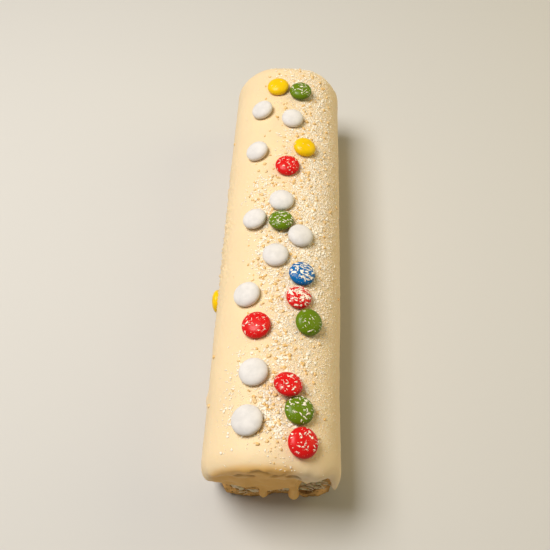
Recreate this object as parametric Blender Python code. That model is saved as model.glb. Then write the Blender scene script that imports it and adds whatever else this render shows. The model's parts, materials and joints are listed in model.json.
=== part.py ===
"""A swiss roll in a coat of pale icing, topped with sugar-shelled sweets and crumbs.

The roll lies along Y on its flat underside. Its front end faces -Y and +X is to the right. The origin is
in the middle of the underside, at the height of the surface that the roll rests on.

Pieces: the rolled sponge, the spiral of cream that runs through it, the icing coat with its drips and
its crumbs, and 23 sweets that lie on the icing.
"""

import math
import random

import bmesh
import bpy
from mathutils import Matrix, Vector

MM = 0.001
GAP = 0.3 * MM  # left between pieces that touch
FLAT_WITHIN = math.radians(0.001)  # a face bent by more than this is split, so that Booleans stay exact

# The roll
ROLL_WIDTH = 70 * MM
ROLL_TOP = 65 * MM
SPONGE_LENGTH = 265 * MM
WIDEST_HEIGHT = 31 * MM  # height at which the roll is widest
UNDERSIDE_SAG = 4 * MM  # how far the round section would reach below the floor if it were not flat
UPPER_SQUARENESS = 2.3  # exponents of the section's upper and lower halves, where 2 is an ellipse
LOWER_SQUARENESS = 3.0
FRONT_SKEW = 0.02  # the front end is cut a little askew, nearer on the right
SEGMENTS = 44

# The icing
ICING = 3.2 * MM
FRONT_ROUND = 6 * MM  # rounding of the coat's front and back end at the top, and of both at the sides
BACK_ROUND = 9 * MM
SIDE_ROUND = 4.5 * MM
ROUND_TURNS = (0, 22, 45, 68, 90)  # degrees round the end's edge at which the coat has a ring
WAVE = 0.45 * MM  # how uneven the coat is
COAT_STATIONS = 22
CAP_RINGS = (0.18, 0.36, 0.53, 0.7, 0.86)  # rings of the end faces, as shares of the face's radius
FOLD = 1.4 * MM  # depth of the sagging folds on the back end
FOLD_SPACING = 16.5 * MM
FOLD_HEIGHT = 38 * MM  # where the middle fold stands out most
LIP = 3.6 * MM  # how far the front end's upper edge bulges out over the face below it
LIP_HEIGHT = 7 * MM  # height above the crease at which it bulges so far
LIP_SIDES = (31 * MM, 40 * MM)  # distances from the middle over which the lip fades
CREASE = 1.6 * MM  # depth and half width of the crease below the lip
CREASE_WIDTH = 1.8 * MM
CURTAIN = 0.9 * MM  # how far the front face below the crease stands out
HEM = 3.5 * MM  # mean height of the coat's lower edge above the floor
HEM_WAVE = 1.6 * MM
HEM_STATIONS = 30
HEM_RISE = 11 * MM  # how far the edge rises on the right, from one distance from the middle to the other
HEM_RISE_REACH = (118 * MM, 132 * MM)
FAR = 20 * MM  # how far a cutter reaches past what it cuts

# The sponge sheet and its filling
CREAM = 3.4 * MM
FIRST_TURN_DEPTH = 6.5 * MM  # depth of the filling's middle below the sponge's surface, where it starts
TURN_PITCH = 11.5 * MM
CREAM_TURNS = 1.75
CREAM_START = math.radians(98)  # from the top, clockwise seen from the front
CREAM_STEPS = 48
CREAM_RECESS = 0.4 * MM

# The sweets: colour, distance from the front, angle from the top to the right, diameter,
# how far the near edge is raised, how far the right edge is raised (mm and degrees)
SWEET_THICKNESS = 6.6 * MM
SWEET_SINK = 1.1 * MM
SWEET_SEGMENTS = 12
SWEET_LATITUDES = (-45, -8, 28, 60)  # degrees at which the lens has a ring
SWEET_FULLNESS = 0.8  # exponent of the lens's outline, where 1 is an ellipse and less is fuller
SWEETS = (
    ("yellow", 243, -10.5, 13.9, 0, 0),
    ("green", 239, 13, 14.0, 0, 8),
    ("white", 223, -25, 13.8, 0, 4),
    ("white", 214, 6, 13.4, -4, 0),
    ("white", 187.5, -27, 14.0, 0, 4),
    ("yellow", 191, 19, 13.8, 0, 0),
    ("red", 174.5, 3, 14.4, 0, 0),
    ("white", 147.5, -1, 14.2, 0, 0),
    ("white", 135, -24.5, 14.0, 6, 0),
    ("green", 132.5, -0.5, 14.0, 10, 0),
    ("white", 123.5, 17.5, 14.2, 0, 0),
    ("white", 109.5, -4, 14.4, 0, 0),
    ("blue", 98.5, 20, 14.4, 0, 0),
    ("white", 85, -27, 14.8, 0, 0),
    ("red", 83.5, 18, 13.6, 0, 0),
    ("yellow", 106.5, -107, 14.0, 0, 0),
    ("red", 65.5, -17, 15.2, 0, 0),
    ("green", 69, 26.5, 14.6, -8, 0),
    ("white", 39, -16.5, 14.9, 0, 0),
    ("red", 32, 11, 14.4, 18, -4),
    ("green", 20, 20.5, 14.6, 0, 0),
    ("white", 14, -19, 15.6, 0, 0),
    ("red", 4, 23.5, 14.8, -7, 0),
)
SWEET_COLOURS = {
    "yellow": (0.93, 0.62, 0.02),
    "green": (0.14, 0.29, 0.01),
    "white": (0.84, 0.80, 0.74),
    "red": (0.72, 0.01, 0.01),
    "blue": (0.01, 0.10, 0.36),
}

# The crumbs
CRUMBS = 120
CRUMB_SIZES = (1.5 * MM, 1.0 * MM)  # radius of the largest and the smallest
CRUMB_BAND = (-34, 8, 52)  # left edge, middle and right edge of the sprinkled band, degrees from the top
CRUMB_CLEARANCE = 0.7 * MM
CRUMB_MARGIN = 3  # mm left bare at the ends
CRUMB_TRIES = 60
# Crumbs that fell on the sides: distance from the front (mm), angle from the top (degrees), radius (mm)
SIDE_CRUMBS = (
    (29, -66, 1.5), (136, -70, 1.2), (56, -64, 1.1),
    (212, -68, 1.2), (160, 64, 1.2), (96, 68, 1.1),
)

# The drips: centre across, height of the tip, radius of the neck and of the bulb, height of the icing's
# edge that they hang from (mm)
FRONT_DRIPS = ((-3.8, 7.7, 2.1, 2.7, 18), (11.9, 9.8, 2.4, 3.1, 27))
BACK_DRIPS = ((9, 8, 2.1, 2.7, 20), (-14, 5, 2.0, 2.8, 20))
DRIP_SEGMENTS = 10

# The line, as (across, height) points in mm, along which the front face is creased below its lip
FRONT_CREASE = (
    (-44, 32), (-33, 34), (-28, 40), (-22, 44), (-15, 43), (-8, 44), (-3, 47), (5, 44), (10, 46), (16, 43),
    (25, 41), (28, 36), (30, 27), (32, 18), (44, 12),
)
# The openings below the icing of the end faces, as (across, height) points of their upper edges (mm),
# from one side of the roll to the other
FRONT_OPENING = (
    (-44, 31), (-34, 29), (-29, 26.5), (-25.5, 24), (-17, 20), (-10.3, 22), (-6.4, 17.5), (-4, 16.5),
    (-1.3, 16.5), (1.8, 19), (6.8, 22.3), (9, 25), (12, 30), (14.5, 33.5), (20, 38.5), (25.4, 38.5),
    (27.7, 34), (29.1, 28), (29.2, 25), (30, 22.5), (32, 20.5), (44, 19),
)
BACK_OPENING = (
    (-44, 8), (-34, 10), (-30, 15), (-27, 21), (-20, 23), (-12, 19), (-4, 21), (5, 18), (13, 22), (22, 24),
    (33, 28), (44, 29),
)


def polar_radius(angle, grow):
    """Distance from the section's middle to the roll's surface, grown outwards."""
    half_width = ROLL_WIDTH / 2 + grow
    if math.cos(angle) >= 0:
        half_height = ROLL_TOP - WIDEST_HEIGHT + grow
        power = UPPER_SQUARENESS
    else:
        half_height = WIDEST_HEIGHT + UNDERSIDE_SAG + grow
        power = LOWER_SQUARENESS
    across = abs(math.sin(angle)) / half_width
    up = abs(math.cos(angle)) / half_height
    return (across**power + up**power) ** (-1 / power)


def unevenness(angle, y):
    """How far the icing stands proud of the plain section."""
    long_wave = math.sin(y / (31 * MM) + 1.3 * math.sin(angle))
    short_wave = math.sin(y / (17 * MM) + 2 * angle + 1)
    return WAVE * (0.6 * long_wave + 0.4 * short_wave)


def coat_point(angle, y, grow=0.0):
    """A point of the icing's outer surface, away from the ends."""
    radius = polar_radius(angle, grow) + unevenness(angle, y)
    return Vector((radius * math.sin(angle), y, WIDEST_HEIGHT + radius * math.cos(angle)))


def coat_axes(angle, y):
    """Directions on the icing at a point: to the right along the section, away from the front, outwards."""
    step = 0.01
    right = (coat_point(angle + step, y) - coat_point(angle - step, y)).normalized()
    away = Vector((0, 1, 0))
    return right, away, right.cross(away)


def station_y(station):
    """The Y of a place given in mm from the sponge's front end."""
    return station * MM - SPONGE_LENGTH / 2


def loft(name, rings, tips=None):
    """A closed mesh through rings of points, closed at its ends by flat faces or by tips."""
    bm = bmesh.new()
    loops = [[bm.verts.new(point) for point in ring] for ring in rings]
    count = len(loops[0])
    for lower, upper in zip(loops, loops[1:]):
        for i in range(count):
            j = (i + 1) % count
            bm.faces.new((lower[i], lower[j], upper[j], upper[i]))
    if tips:
        for tip, loop in zip(tips, (loops[0], loops[-1])):
            end = bm.verts.new(tip)
            for i in range(count):
                bm.faces.new((end, loop[i], loop[(i + 1) % count]))
    else:
        bm.faces.new(loops[0])
        bm.faces.new(loops[-1])
    bmesh.ops.recalc_face_normals(bm, faces=bm.faces)
    bmesh.ops.connect_verts_nonplanar(bm, angle_limit=FLAT_WITHIN, faces=bm.faces)
    mesh = bpy.data.meshes.new(name)
    bm.to_mesh(mesh)
    bm.free()
    return mesh


def add_object(name, mesh, collection=None):
    """An object that shows a mesh."""
    obj = bpy.data.objects.new(name, mesh)
    (collection or bpy.context.scene.collection).objects.link(obj)
    return obj


def make_cutter(name, mesh):
    """An object that only cuts others."""
    cutter = add_object(name, mesh)
    cutter.hide_render = True
    cutter.display_type = "WIRE"
    return cutter


def cut(obj, cutter):
    """Takes a cutter's shape out of an object."""
    modifier = obj.modifiers.new(cutter.name, "BOOLEAN")
    modifier.operation = "DIFFERENCE"
    modifier.solver = "EXACT"
    modifier.object = cutter


def apply_modifiers(obj):
    """Makes an object's modifiers part of its mesh."""
    evaluated = obj.evaluated_get(bpy.context.evaluated_depsgraph_get())
    mesh = bpy.data.meshes.new_from_object(evaluated)
    obj.modifiers.clear()
    obj.data = mesh


def material(name, colour, roughness):
    """A plain finish."""
    finish = bpy.data.materials.new(name)
    finish.use_nodes = True
    shader = finish.node_tree.nodes["Principled BSDF"]
    shader.inputs["Base Color"].default_value = (*colour, 1)
    shader.inputs["Roughness"].default_value = roughness
    shader.inputs["Metallic"].default_value = 0
    return finish


def finish_object(obj, finish):
    """Smooth shading and a material."""
    obj.data.materials.clear()
    obj.data.materials.append(finish)
    obj.data.shade_smooth()
    obj.data.set_sharp_from_angle(angle=math.radians(40))


def angles(count):
    """Evenly spaced angles of a whole turn."""
    return [2 * math.pi * i / count for i in range(count)]


def skew_front(point):
    """Moves a point near the front end with the askew cut."""
    nearness = min(1, max(0, -point.y / (SPONGE_LENGTH / 2) * 3 - 2))
    return point - Vector((0, FRONT_SKEW * point.x * nearness, 0))


def section_ring(y, grow, floor):
    """The roll's plain section at one end, cut flat at the floor's height."""
    ring = []
    for angle in angles(SEGMENTS):
        radius = polar_radius(angle, grow)
        height = max(floor, WIDEST_HEIGHT + radius * math.cos(angle))
        ring.append(skew_front(Vector((radius * math.sin(angle), y, height))))
    return ring


def filling_radius(turn):
    """Distance of the filling's middle from the section's middle; turn runs from 0 to CREAM_TURNS."""
    return polar_radius(CREAM_START + 2 * math.pi * turn, -ICING) - FIRST_TURN_DEPTH - TURN_PITCH * turn


def filling_edge(turn, side):
    """A point of the filling's spiral, side being its distance across from the filling's middle."""
    angle = CREAM_START + 2 * math.pi * turn
    radius = filling_radius(turn) + side
    return Vector((radius * math.sin(angle), 0, WIDEST_HEIGHT + radius * math.cos(angle)))


def filling_mesh(name, thickness, overrun, length):
    """The spiral strip of the filling, run through the roll's length."""
    turns = [CREAM_TURNS * i / CREAM_STEPS for i in range(CREAM_STEPS + 1)]
    turns[0] -= overrun / (2 * math.pi * filling_radius(turns[0]))
    turns[-1] += overrun / (2 * math.pi * filling_radius(turns[-1]))
    outer = [filling_edge(turn, thickness / 2) for turn in turns]
    inner = [filling_edge(turn, -thickness / 2) for turn in reversed(turns)]
    rings = []
    for y in (-length / 2, length / 2):
        rings.append([skew_front(point + Vector((0, y, 0))) for point in outer + inner])
    return loft(name, rings)


def make_sponge():
    """The rolled sheet of sponge, with the channel that the cream fills."""
    half = SPONGE_LENGTH / 2
    sponge = add_object("sponge", loft("sponge", [section_ring(y, -ICING, 0) for y in (-half, half)]))
    channel = filling_mesh("cream_channel", CREAM + 2 * GAP, GAP, SPONGE_LENGTH + 2 * FAR)
    cut(sponge, make_cutter("cream_channel", channel))
    return sponge


def make_cream():
    """The cream between the turns of sponge."""
    return add_object("cream", filling_mesh("cream", CREAM, 0, SPONGE_LENGTH - 2 * CREAM_RECESS))


def smooth(value, low, high):
    """How far a value has come from low to high, eased at both ends."""
    share = max(0, min(1, (value - low) / (high - low)))
    return share * share * (3 - 2 * share)


def height_on(line, x):
    """Height of a line of (across, height) points in mm at a place across the roll."""
    across = x / MM
    for (left, low), (right, high) in zip(line, line[1:]):
        if left <= across <= right:
            return (low + (high - low) * (across - left) / (right - left)) * MM
    return line[-1][1] * MM


def end_relief(x, z, outward):
    """How far an end face of the icing stands out: a lip over a crease in front, sagging folds behind."""
    if outward < 0:
        above = z - height_on(FRONT_CREASE, x)
        lip = LIP * smooth(above, 0, LIP_HEIGHT) * (1 - smooth(abs(x), *LIP_SIDES))
        return CURTAIN + lip - CREASE * math.exp(-((above / CREASE_WIDTH) ** 2))
    wander = 1.6 * MM * math.sin(x / (8 * MM)) + 1.2 * MM * math.sin(x / (3.7 * MM) + 1)
    return FOLD * math.cos(2 * math.pi * (z - FOLD_HEIGHT + wander) / FOLD_SPACING)


def end_round(angle, outward):
    """Rounding of one of the coat's ends, wider at the top than at the sides; outward is -1 or 1."""
    top = FRONT_ROUND if outward < 0 else BACK_ROUND
    return SIDE_ROUND + (top - SIDE_ROUND) * max(0, math.cos(angle))


def end_rings(outward):
    """Rings of one rounded end of the coat, from its face's middle to its side."""
    reach = SPONGE_LENGTH / 2 + ICING
    face = []
    for angle in angles(SEGMENTS):
        radius = polar_radius(angle, -end_round(angle, outward))
        face.append((radius * math.sin(angle), WIDEST_HEIGHT + radius * math.cos(angle)))
    rings = []
    for share in CAP_RINGS:
        ring = []
        for x, z in face:
            across = x * share
            height = WIDEST_HEIGHT + (z - WIDEST_HEIGHT) * share
            ring.append(Vector((across, outward * (reach + end_relief(across, height, outward)), height)))
        rings.append(ring)
    for turn in map(math.radians, ROUND_TURNS):
        inward = 1 - math.sin(turn)
        back = 1 - math.cos(turn)
        ring = []
        for angle, (x, z) in zip(angles(SEGMENTS), face):
            rounding = end_round(angle, outward)
            y = outward * (reach - back * rounding + (1 - back) * end_relief(x, z, outward))
            ring.append(coat_point(angle, y, -inward * rounding))
        rings.append(ring)
    return rings


def coat_mesh():
    """The icing's outer form, before it is hollowed."""
    front = end_rings(-1)
    back = end_rings(1)
    start = -SPONGE_LENGTH / 2 - ICING + BACK_ROUND
    step = -2 * start / COAT_STATIONS
    middle = []
    for i in range(1, COAT_STATIONS):
        middle.append([coat_point(angle, start + step * i) for angle in angles(SEGMENTS)])
    rings = [[skew_front(point) for point in ring] for ring in front + middle + back[::-1]]
    tips = []
    for outward in (-1, 1):
        reach = SPONGE_LENGTH / 2 + ICING + end_relief(0, WIDEST_HEIGHT, outward)
        tips.append(Vector((0, outward * reach, WIDEST_HEIGHT)))
    return loft("icing", rings, tips)


def hollow_mesh():
    """The room for the sponge inside the coat."""
    half = SPONGE_LENGTH / 2 + GAP
    return loft("coat_hollow", [section_ring(y, GAP - ICING, -FAR) for y in (-half, half)])


def hem_mesh():
    """What is cut off below the coat's wavy lower edge."""
    half = SPONGE_LENGTH / 2 + FAR
    rings = []
    for i in range(HEM_STATIONS + 1):
        y = -half + 2 * half * i / HEM_STATIONS
        left = HEM + HEM_WAVE * (0.6 * math.sin(y / (13 * MM)) + 0.4 * math.sin(y / (7.3 * MM) + 1))
        right = HEM + HEM_WAVE * (0.6 * math.sin(y / (15 * MM) + 2) + 0.4 * math.sin(y / (8.1 * MM)))
        right += HEM_RISE * smooth(-y, *HEM_RISE_REACH)
        corners = ((-ROLL_WIDTH, left), (ROLL_WIDTH, right), (ROLL_WIDTH, -FAR), (-ROLL_WIDTH, -FAR))
        rings.append([Vector((x, y, z)) for x, z in corners])
    return loft("coat_hem", rings)


def opening_mesh(name, edge, outward):
    """What is cut out of an end face below its wavy edge."""
    outline = [(x * MM, z * MM) for x, z in edge]
    outline += [(outline[-1][0], -FAR), (outline[0][0], -FAR)]
    inner = SPONGE_LENGTH / 2 - 1.5 * MM
    outer = SPONGE_LENGTH / 2 + FAR
    return loft(name, [[skew_front(Vector((x, outward * y, z))) for x, z in outline] for y in (inner, outer)])


def drip_mesh(drip, outward):
    """A drip that hangs from the icing of an end face and widens into it at its top."""
    across, tip, neck, bulb, root = (value * MM for value in drip)
    face = SPONGE_LENGTH / 2
    hang = face + 2 * GAP + bulb
    sections = [  # height, half width, half depth, distance of its middle from the roll's middle
        (tip + 0.25 * bulb, 0.62 * bulb, 0.62 * bulb, hang),
        (tip + bulb, bulb, bulb, hang),
        (tip + 1.9 * bulb, 0.86 * bulb, 0.86 * bulb, hang),
        (root - 2 * MM, neck, neck, hang),
        (root + 2 * MM, 1.5 * neck, 0.8 * neck, face + 0.75 * ICING),
        (root + 6 * MM, 2.4 * neck, 0.3 * ICING, face + 0.6 * ICING),
    ]
    rings = []
    for z, half_width, half_depth, y in sections:
        ring = []
        for angle in angles(DRIP_SEGMENTS):
            x = across + half_width * math.cos(angle)
            ring.append(skew_front(Vector((x, outward * (y + half_depth * math.sin(angle)), z))))
        rings.append(ring)
    lowest = Vector((across, outward * hang, tip))
    highest = Vector((across, outward * (face + 0.6 * ICING), root + 8 * MM))
    return loft("drip", rings, [skew_front(lowest), skew_front(highest)])


def clear_of_icing(point):
    """Moves a point that is sunk in the icing out to just above it."""
    offset = Vector((point.x, 0, point.z - WIDEST_HEIGHT))
    angle = math.atan2(offset.x, offset.z)
    least = polar_radius(angle, 0) + unevenness(angle, point.y) + 1.2 * GAP
    if offset.length >= least:
        return point
    offset = offset.normalized() * least
    return Vector((offset.x, point.y, WIDEST_HEIGHT + offset.z))


def sweet_frame(sweet):
    """Where a sweet lies: its middle and its own axes."""
    colour, station, angle, diameter, near_lift, right_lift = sweet
    y = station_y(station)
    turn = math.radians(angle)
    right, away, normal = coat_axes(turn, y)
    near_tilt = Matrix.Rotation(-math.radians(near_lift), 3, "X")
    right_tilt = Matrix.Rotation(-math.radians(right_lift), 3, "Y")
    rise = 0.75 * diameter / 2 * MM * math.sin(math.radians(abs(near_lift) + abs(right_lift)))
    middle = coat_point(turn, y) + normal * (SWEET_THICKNESS / 2 - SWEET_SINK + rise)
    lie = Matrix((right, away, normal)).transposed() @ near_tilt @ right_tilt
    return Matrix.Translation(middle) @ lie.to_4x4()


def sweet_mesh(name, sweet):
    """A lens-shaped sweet, its underside fitted to the icing."""
    frame = sweet_frame(sweet)
    radius = sweet[3] * MM / 2
    half = SWEET_THICKNESS / 2
    rings = []
    for latitude in map(math.radians, SWEET_LATITUDES):
        reach = radius * math.cos(latitude) ** SWEET_FULLNESS
        height = half * math.sin(latitude)
        ring = []
        for angle in angles(SWEET_SEGMENTS):
            point = frame @ Vector((reach * math.cos(angle), reach * math.sin(angle), height))
            ring.append(clear_of_icing(point))
        rings.append(ring)
    tips = [clear_of_icing(frame @ Vector((0, 0, height))) for height in (-half, half)]
    return loft(name, rings, tips)


def make_sweets():
    """All sweets, each an object of its own."""
    finishes = {name: material(f"sweet_{name}", colour, 0.3) for name, colour in SWEET_COLOURS.items()}
    for number, sweet in enumerate(SWEETS, 1):
        name = f"sweet_{number:02d}_{sweet[0]}"
        finish_object(add_object(name, sweet_mesh(name, sweet)), finishes[sweet[0]])


def crumb_places():
    """Where the crumbs lie and how large they are: (station, angle, radius), largest first."""
    draw = random.Random(7)
    places = [(station, angle, radius * MM) for station, angle, radius in SIDE_CRUMBS]
    taken = [(coat_point(math.radians(sweet[2]), station_y(sweet[1])), sweet[3] * MM / 2) for sweet in SWEETS]
    largest, smallest = CRUMB_SIZES
    left, middle, right = CRUMB_BAND
    for number in range(CRUMBS):
        radius = largest + (smallest - largest) * number / (CRUMBS - 1)
        for attempt in range(CRUMB_TRIES):
            station = draw.uniform(CRUMB_MARGIN, SPONGE_LENGTH / MM - CRUMB_MARGIN)
            angle = draw.triangular(left, right, middle)
            point = coat_point(math.radians(angle), station_y(station))
            if all((point - other).length > size + radius + CRUMB_CLEARANCE for other, size in taken):
                places.append((station, angle, radius))
                taken.append((point, radius * 2))
                break
    return places


def crumb_mesh(place, draw):
    """A rough crumb, half sunk in the icing."""
    station, angle, radius = place
    turn = math.radians(angle)
    y = station_y(station)
    normal = coat_axes(turn, y)[2]
    bm = bmesh.new()
    bmesh.ops.create_icosphere(bm, subdivisions=1, radius=radius)
    stretch = Vector((draw.uniform(0.8, 1.2), draw.uniform(0.7, 1.1), draw.uniform(0.7, 0.95)))
    bmesh.ops.scale(bm, vec=stretch, verts=bm.verts)
    for vert in bm.verts:
        vert.co *= draw.uniform(0.88, 1.1)
    bmesh.ops.rotate(bm, verts=bm.verts, matrix=Matrix.Rotation(draw.uniform(0, math.tau), 3, "Z"))
    lean = Vector((0, 0, 1)).rotation_difference(normal)
    bmesh.ops.rotate(bm, verts=bm.verts, matrix=lean.to_matrix())
    bmesh.ops.translate(bm, verts=bm.verts, vec=coat_point(turn, y) + normal * 0.15 * radius)
    mesh = bpy.data.meshes.new("crumb")
    bm.to_mesh(mesh)
    bm.free()
    return mesh


def make_icing():
    """The coat, hollowed over the sponge and open at its ends, with its drips and crumbs."""
    icing = add_object("icing", coat_mesh())
    for mesh in (
        hollow_mesh(),
        hem_mesh(),
        opening_mesh("front_opening", FRONT_OPENING, -1),
        opening_mesh("back_opening", BACK_OPENING, 1),
    ):
        cut(icing, make_cutter(mesh.name, mesh))
    toppings = bpy.data.collections.new("drips_and_crumbs")
    bpy.context.scene.collection.children.link(toppings)
    for drips, outward in ((FRONT_DRIPS, -1), (BACK_DRIPS, 1)):
        for drip in drips:
            add_object("drip", drip_mesh(drip, outward), toppings)
    draw = random.Random(11)
    for place in crumb_places():
        add_object("crumb", crumb_mesh(place, draw), toppings)
    union = icing.modifiers.new("toppings", "BOOLEAN")
    union.operation = "UNION"
    union.operand_type = "COLLECTION"
    union.collection = toppings
    union.solver = "EXACT"
    apply_modifiers(icing)
    for obj in list(toppings.objects):
        bpy.data.objects.remove(obj)
    bpy.data.collections.remove(toppings)
    return icing


def main():
    for obj in list(bpy.data.objects):
        bpy.data.objects.remove(obj)
    finish_object(make_sponge(), material("sponge", (0.46, 0.25, 0.08), 0.9))
    finish_object(make_cream(), material("cream", (0.85, 0.78, 0.64), 0.6))
    finish_object(make_icing(), material("icing", (0.91, 0.72, 0.42), 0.45))
    make_sweets()


main()
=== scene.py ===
"""A swiss roll in a coat of pale icing, topped with sugar-coated sweets, nut crumbs and white flakes.

The roll lies along Y on its flat underside. Its front end faces -Y and +X is to the right. Lengths are in
metres. A place on the icing is a station, in mm from the sponge's front end, and an angle, in degrees from
the top, positive to the right.
"""

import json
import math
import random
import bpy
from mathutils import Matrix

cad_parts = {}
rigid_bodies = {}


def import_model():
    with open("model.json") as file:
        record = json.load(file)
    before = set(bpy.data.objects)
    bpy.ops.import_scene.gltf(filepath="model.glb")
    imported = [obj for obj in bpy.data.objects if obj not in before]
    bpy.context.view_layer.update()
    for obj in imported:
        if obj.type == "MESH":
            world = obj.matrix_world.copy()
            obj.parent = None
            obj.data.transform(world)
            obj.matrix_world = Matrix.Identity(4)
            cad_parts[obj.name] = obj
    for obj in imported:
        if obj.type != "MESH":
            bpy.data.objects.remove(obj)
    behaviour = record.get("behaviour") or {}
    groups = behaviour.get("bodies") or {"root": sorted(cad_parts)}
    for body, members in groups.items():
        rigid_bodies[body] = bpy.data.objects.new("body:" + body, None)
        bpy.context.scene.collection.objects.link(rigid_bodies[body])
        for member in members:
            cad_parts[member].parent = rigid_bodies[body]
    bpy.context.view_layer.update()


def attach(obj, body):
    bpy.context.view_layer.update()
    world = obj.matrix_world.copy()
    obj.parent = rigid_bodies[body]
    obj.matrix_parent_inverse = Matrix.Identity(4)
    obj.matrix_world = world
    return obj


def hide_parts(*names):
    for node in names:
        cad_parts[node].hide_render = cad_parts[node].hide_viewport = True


bl_info = {
    "name": "Swiss roll",
    "version": (1, 0, 0),
    "blender": (4, 5, 0),
    "location": "3D View > Sidebar > Swiss roll",
    "description": "Makes an iced swiss roll with its filling, sweets and crumbs",
    "category": "Add Mesh",
}

import bmesh
import bpy
from bpy.props import FloatProperty, FloatVectorProperty, IntProperty, PointerProperty
from mathutils import Matrix, Vector, noise
from mathutils.bvhtree import BVHTree

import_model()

MM = 0.001
GAP = 0.3 * MM  # left between the sponge and what lies round it

# The roll's section and its icing
UPPER_SQUARENESS = 2.3  # exponents of the section's upper and lower halves, where 2 is an ellipse
LOWER_SQUARENESS = 3.0
FRONT_SKEW = 0.02  # the front end is cut a little askew, nearer on the right
FRONT_ROUND = 6 * MM  # rounding of the coat's front and back end at the top, and of both at the sides
BACK_ROUND = 9 * MM
SIDE_ROUND = 4.5 * MM
WAVE = 0.45 * MM  # how uneven the coat is, and the lengths of its long and short waves
LONG_WAVE = 31 * MM
SHORT_WAVE = 17 * MM
END_LUMPS = ((1.1 * MM, 8 * MM), (0.6 * MM, 4 * MM))  # height and size of the lumps on the end faces
SKIN_LUMPS = ((0.16 * MM, 8 * MM), (0.06 * MM, 2.6 * MM))  # and of those all over the icing
FOLD = 1.4 * MM  # depth, spacing and height of the sagging folds on the back end
FOLD_SPACING = 16.5 * MM
FOLD_HEIGHT = 38 * MM
FOLD_WANDER = ((1.6 * MM, 8 * MM, 0), (1.2 * MM, 3.7 * MM, 1))  # height, length and phase of its waves
WRINKLE = 0.25 * MM  # depth and spacing of the fine wrinkles between those folds
WRINKLE_SPACING = 1.1 * MM
LIP = 4.2 * MM  # how far the front end's upper edge bulges out, and how far above the crease it does so
LIP_HEIGHT = 7 * MM
LIP_SIDES = (31 * MM, 40 * MM)  # distances from the middle over which the lip fades
LIP_RIGHT = (14 * MM, 20 * MM)  # where across the roll the lip thins out
LIP_FADE = ((16, 34), (40, 54))  # heights (mm) over which it fades in, to the left and to the right of there
CREASE = 1.6 * MM  # depth and half width of the crease below the lip
CREASE_WIDTH = 1.4 * MM
CREASE_WANDER = ((1.1 * MM, 2.6 * MM, 0), (0.6 * MM, 1.2 * MM, 2))  # height, length and phase of its waves
CURTAIN = 0.9 * MM  # how far the front face below the crease stands out
HEM = 3.5 * MM  # mean height of the coat's lower edge, and how much it waves
HEM_WAVE = 1.6 * MM
HEM_LEFT = ((0.6, 13 * MM, 0), (0.4, 7.3 * MM, 1))  # share, length and phase of its waves on either side
HEM_RIGHT = ((0.6, 15 * MM, 2), (0.4, 8.1 * MM, 0))
HEM_RISE = 13.5 * MM  # how far the edge rises on the right towards the front end, and where
HEM_RISE_REACH = (118 * MM, 132 * MM)
FAR = 20 * MM  # how far a cutter reaches past what it cuts
EDGE_BEAD = 0.6 * MM  # how far the icing swells above an opening, how far above, and over what width
BEAD_RISE = 2.2 * MM
BEAD_WIDTH = 2.4 * MM
SWELLING = Vector((-0.035, -0.0965, 0.037))  # where the icing swells over a crumb on the left side
SWELLING_HEIGHT = 0.9 * MM
SWELLING_WIDTH = 3.2 * MM
GRIT = 2.4 * MM  # height of the grit low on the left, its size, where it starts, and its reach along the roll
GRIT_SIZE = 1.6 * MM
GRIT_EDGE = 26 * MM
GRIT_REACH = 55 * MM
SECTION_POINTS = 132  # how finely the section, the coat's skin (round it, along it) and its hem are made
COAT_GRID = (200, 320)
HEM_STEPS = 150
INSIDE_THINNING = 0.94  # share of the icing's unseen faces that is taken out
INSIDE_END = 1.2 * MM  # how far past the sponge's ends the icing still counts as unseen
BODY_SHARE = 0.76  # shares of the coat's rows that go to its length, and up to the end of its rounding
ROUND_SHARE = 0.83

# The line, as (across, height) points in mm, along which the front face is creased below its lip
FRONT_CREASE = (
    (-44, 32), (-33, 34), (-28, 40), (-22, 44), (-15, 43), (-8, 44), (-3, 46), (5, 43), (10, 45), (16, 42),
    (25, 40), (28, 35), (30, 27), (32, 18), (44, 12),
)
# The folds below the lip: depth of the fold in mm and the (across, height) points of its line
FRONT_FOLDS = (
    (1.7, ((-19, 49), (-16, 50), (-13, 51.5), (-10, 50.5), (-5, 50))),
    (1.3, ((-11, 56.5), (-8, 58), (-5, 59), (-1, 57.5), (1, 56.5))),
    (1.6, ((-1, 53), (1, 53), (4, 53.5), (6, 56), (8.5, 60))),
    (1.6, ((6, 54), (8, 53.5), (11, 53.5), (14, 50.5), (16, 49))),
    (1.1, ((8, 43), (11, 44.5), (16, 46))),
    (1.0, ((-31, 40.5), (-27, 41), (-24, 41.5), (-18, 38.5), (-14, 37.5))),
)
FOLD_WIDTH = 1.15 * MM
FOLD_ENDS = 3 * MM  # how far from its ends a fold reaches its depth
FOLD_FACE = (-133 * MM, -131 * MM)  # where along the roll the folds fade out, behind the front face

# The openings below the icing of the end faces: (across, height) of their upper edges in mm
FRONT_OPENING = (
    (-44, 31), (-34, 29), (-29, 26.5), (-25.5, 24), (-17, 20), (-10.3, 22), (-6.4, 17.5), (-4, 16.5),
    (-1.3, 16.5), (1.8, 19), (6.8, 22.3), (9, 25), (12, 30), (14.5, 36), (17, 42), (20, 45.5),
    (25.5, 45.5), (28.4, 42), (30, 36), (30.5, 29), (31, 24.5), (32.2, 21.5), (34, 19.6), (36, 18.7),
    (44, 18),
)
BACK_OPENING = (
    (-44, 8), (-34, 10), (-30, 15), (-27, 21), (-20, 23), (-12, 19), (-4, 21), (5, 18), (13, 22),
    (22, 24), (33, 28), (44, 29),
)
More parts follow.
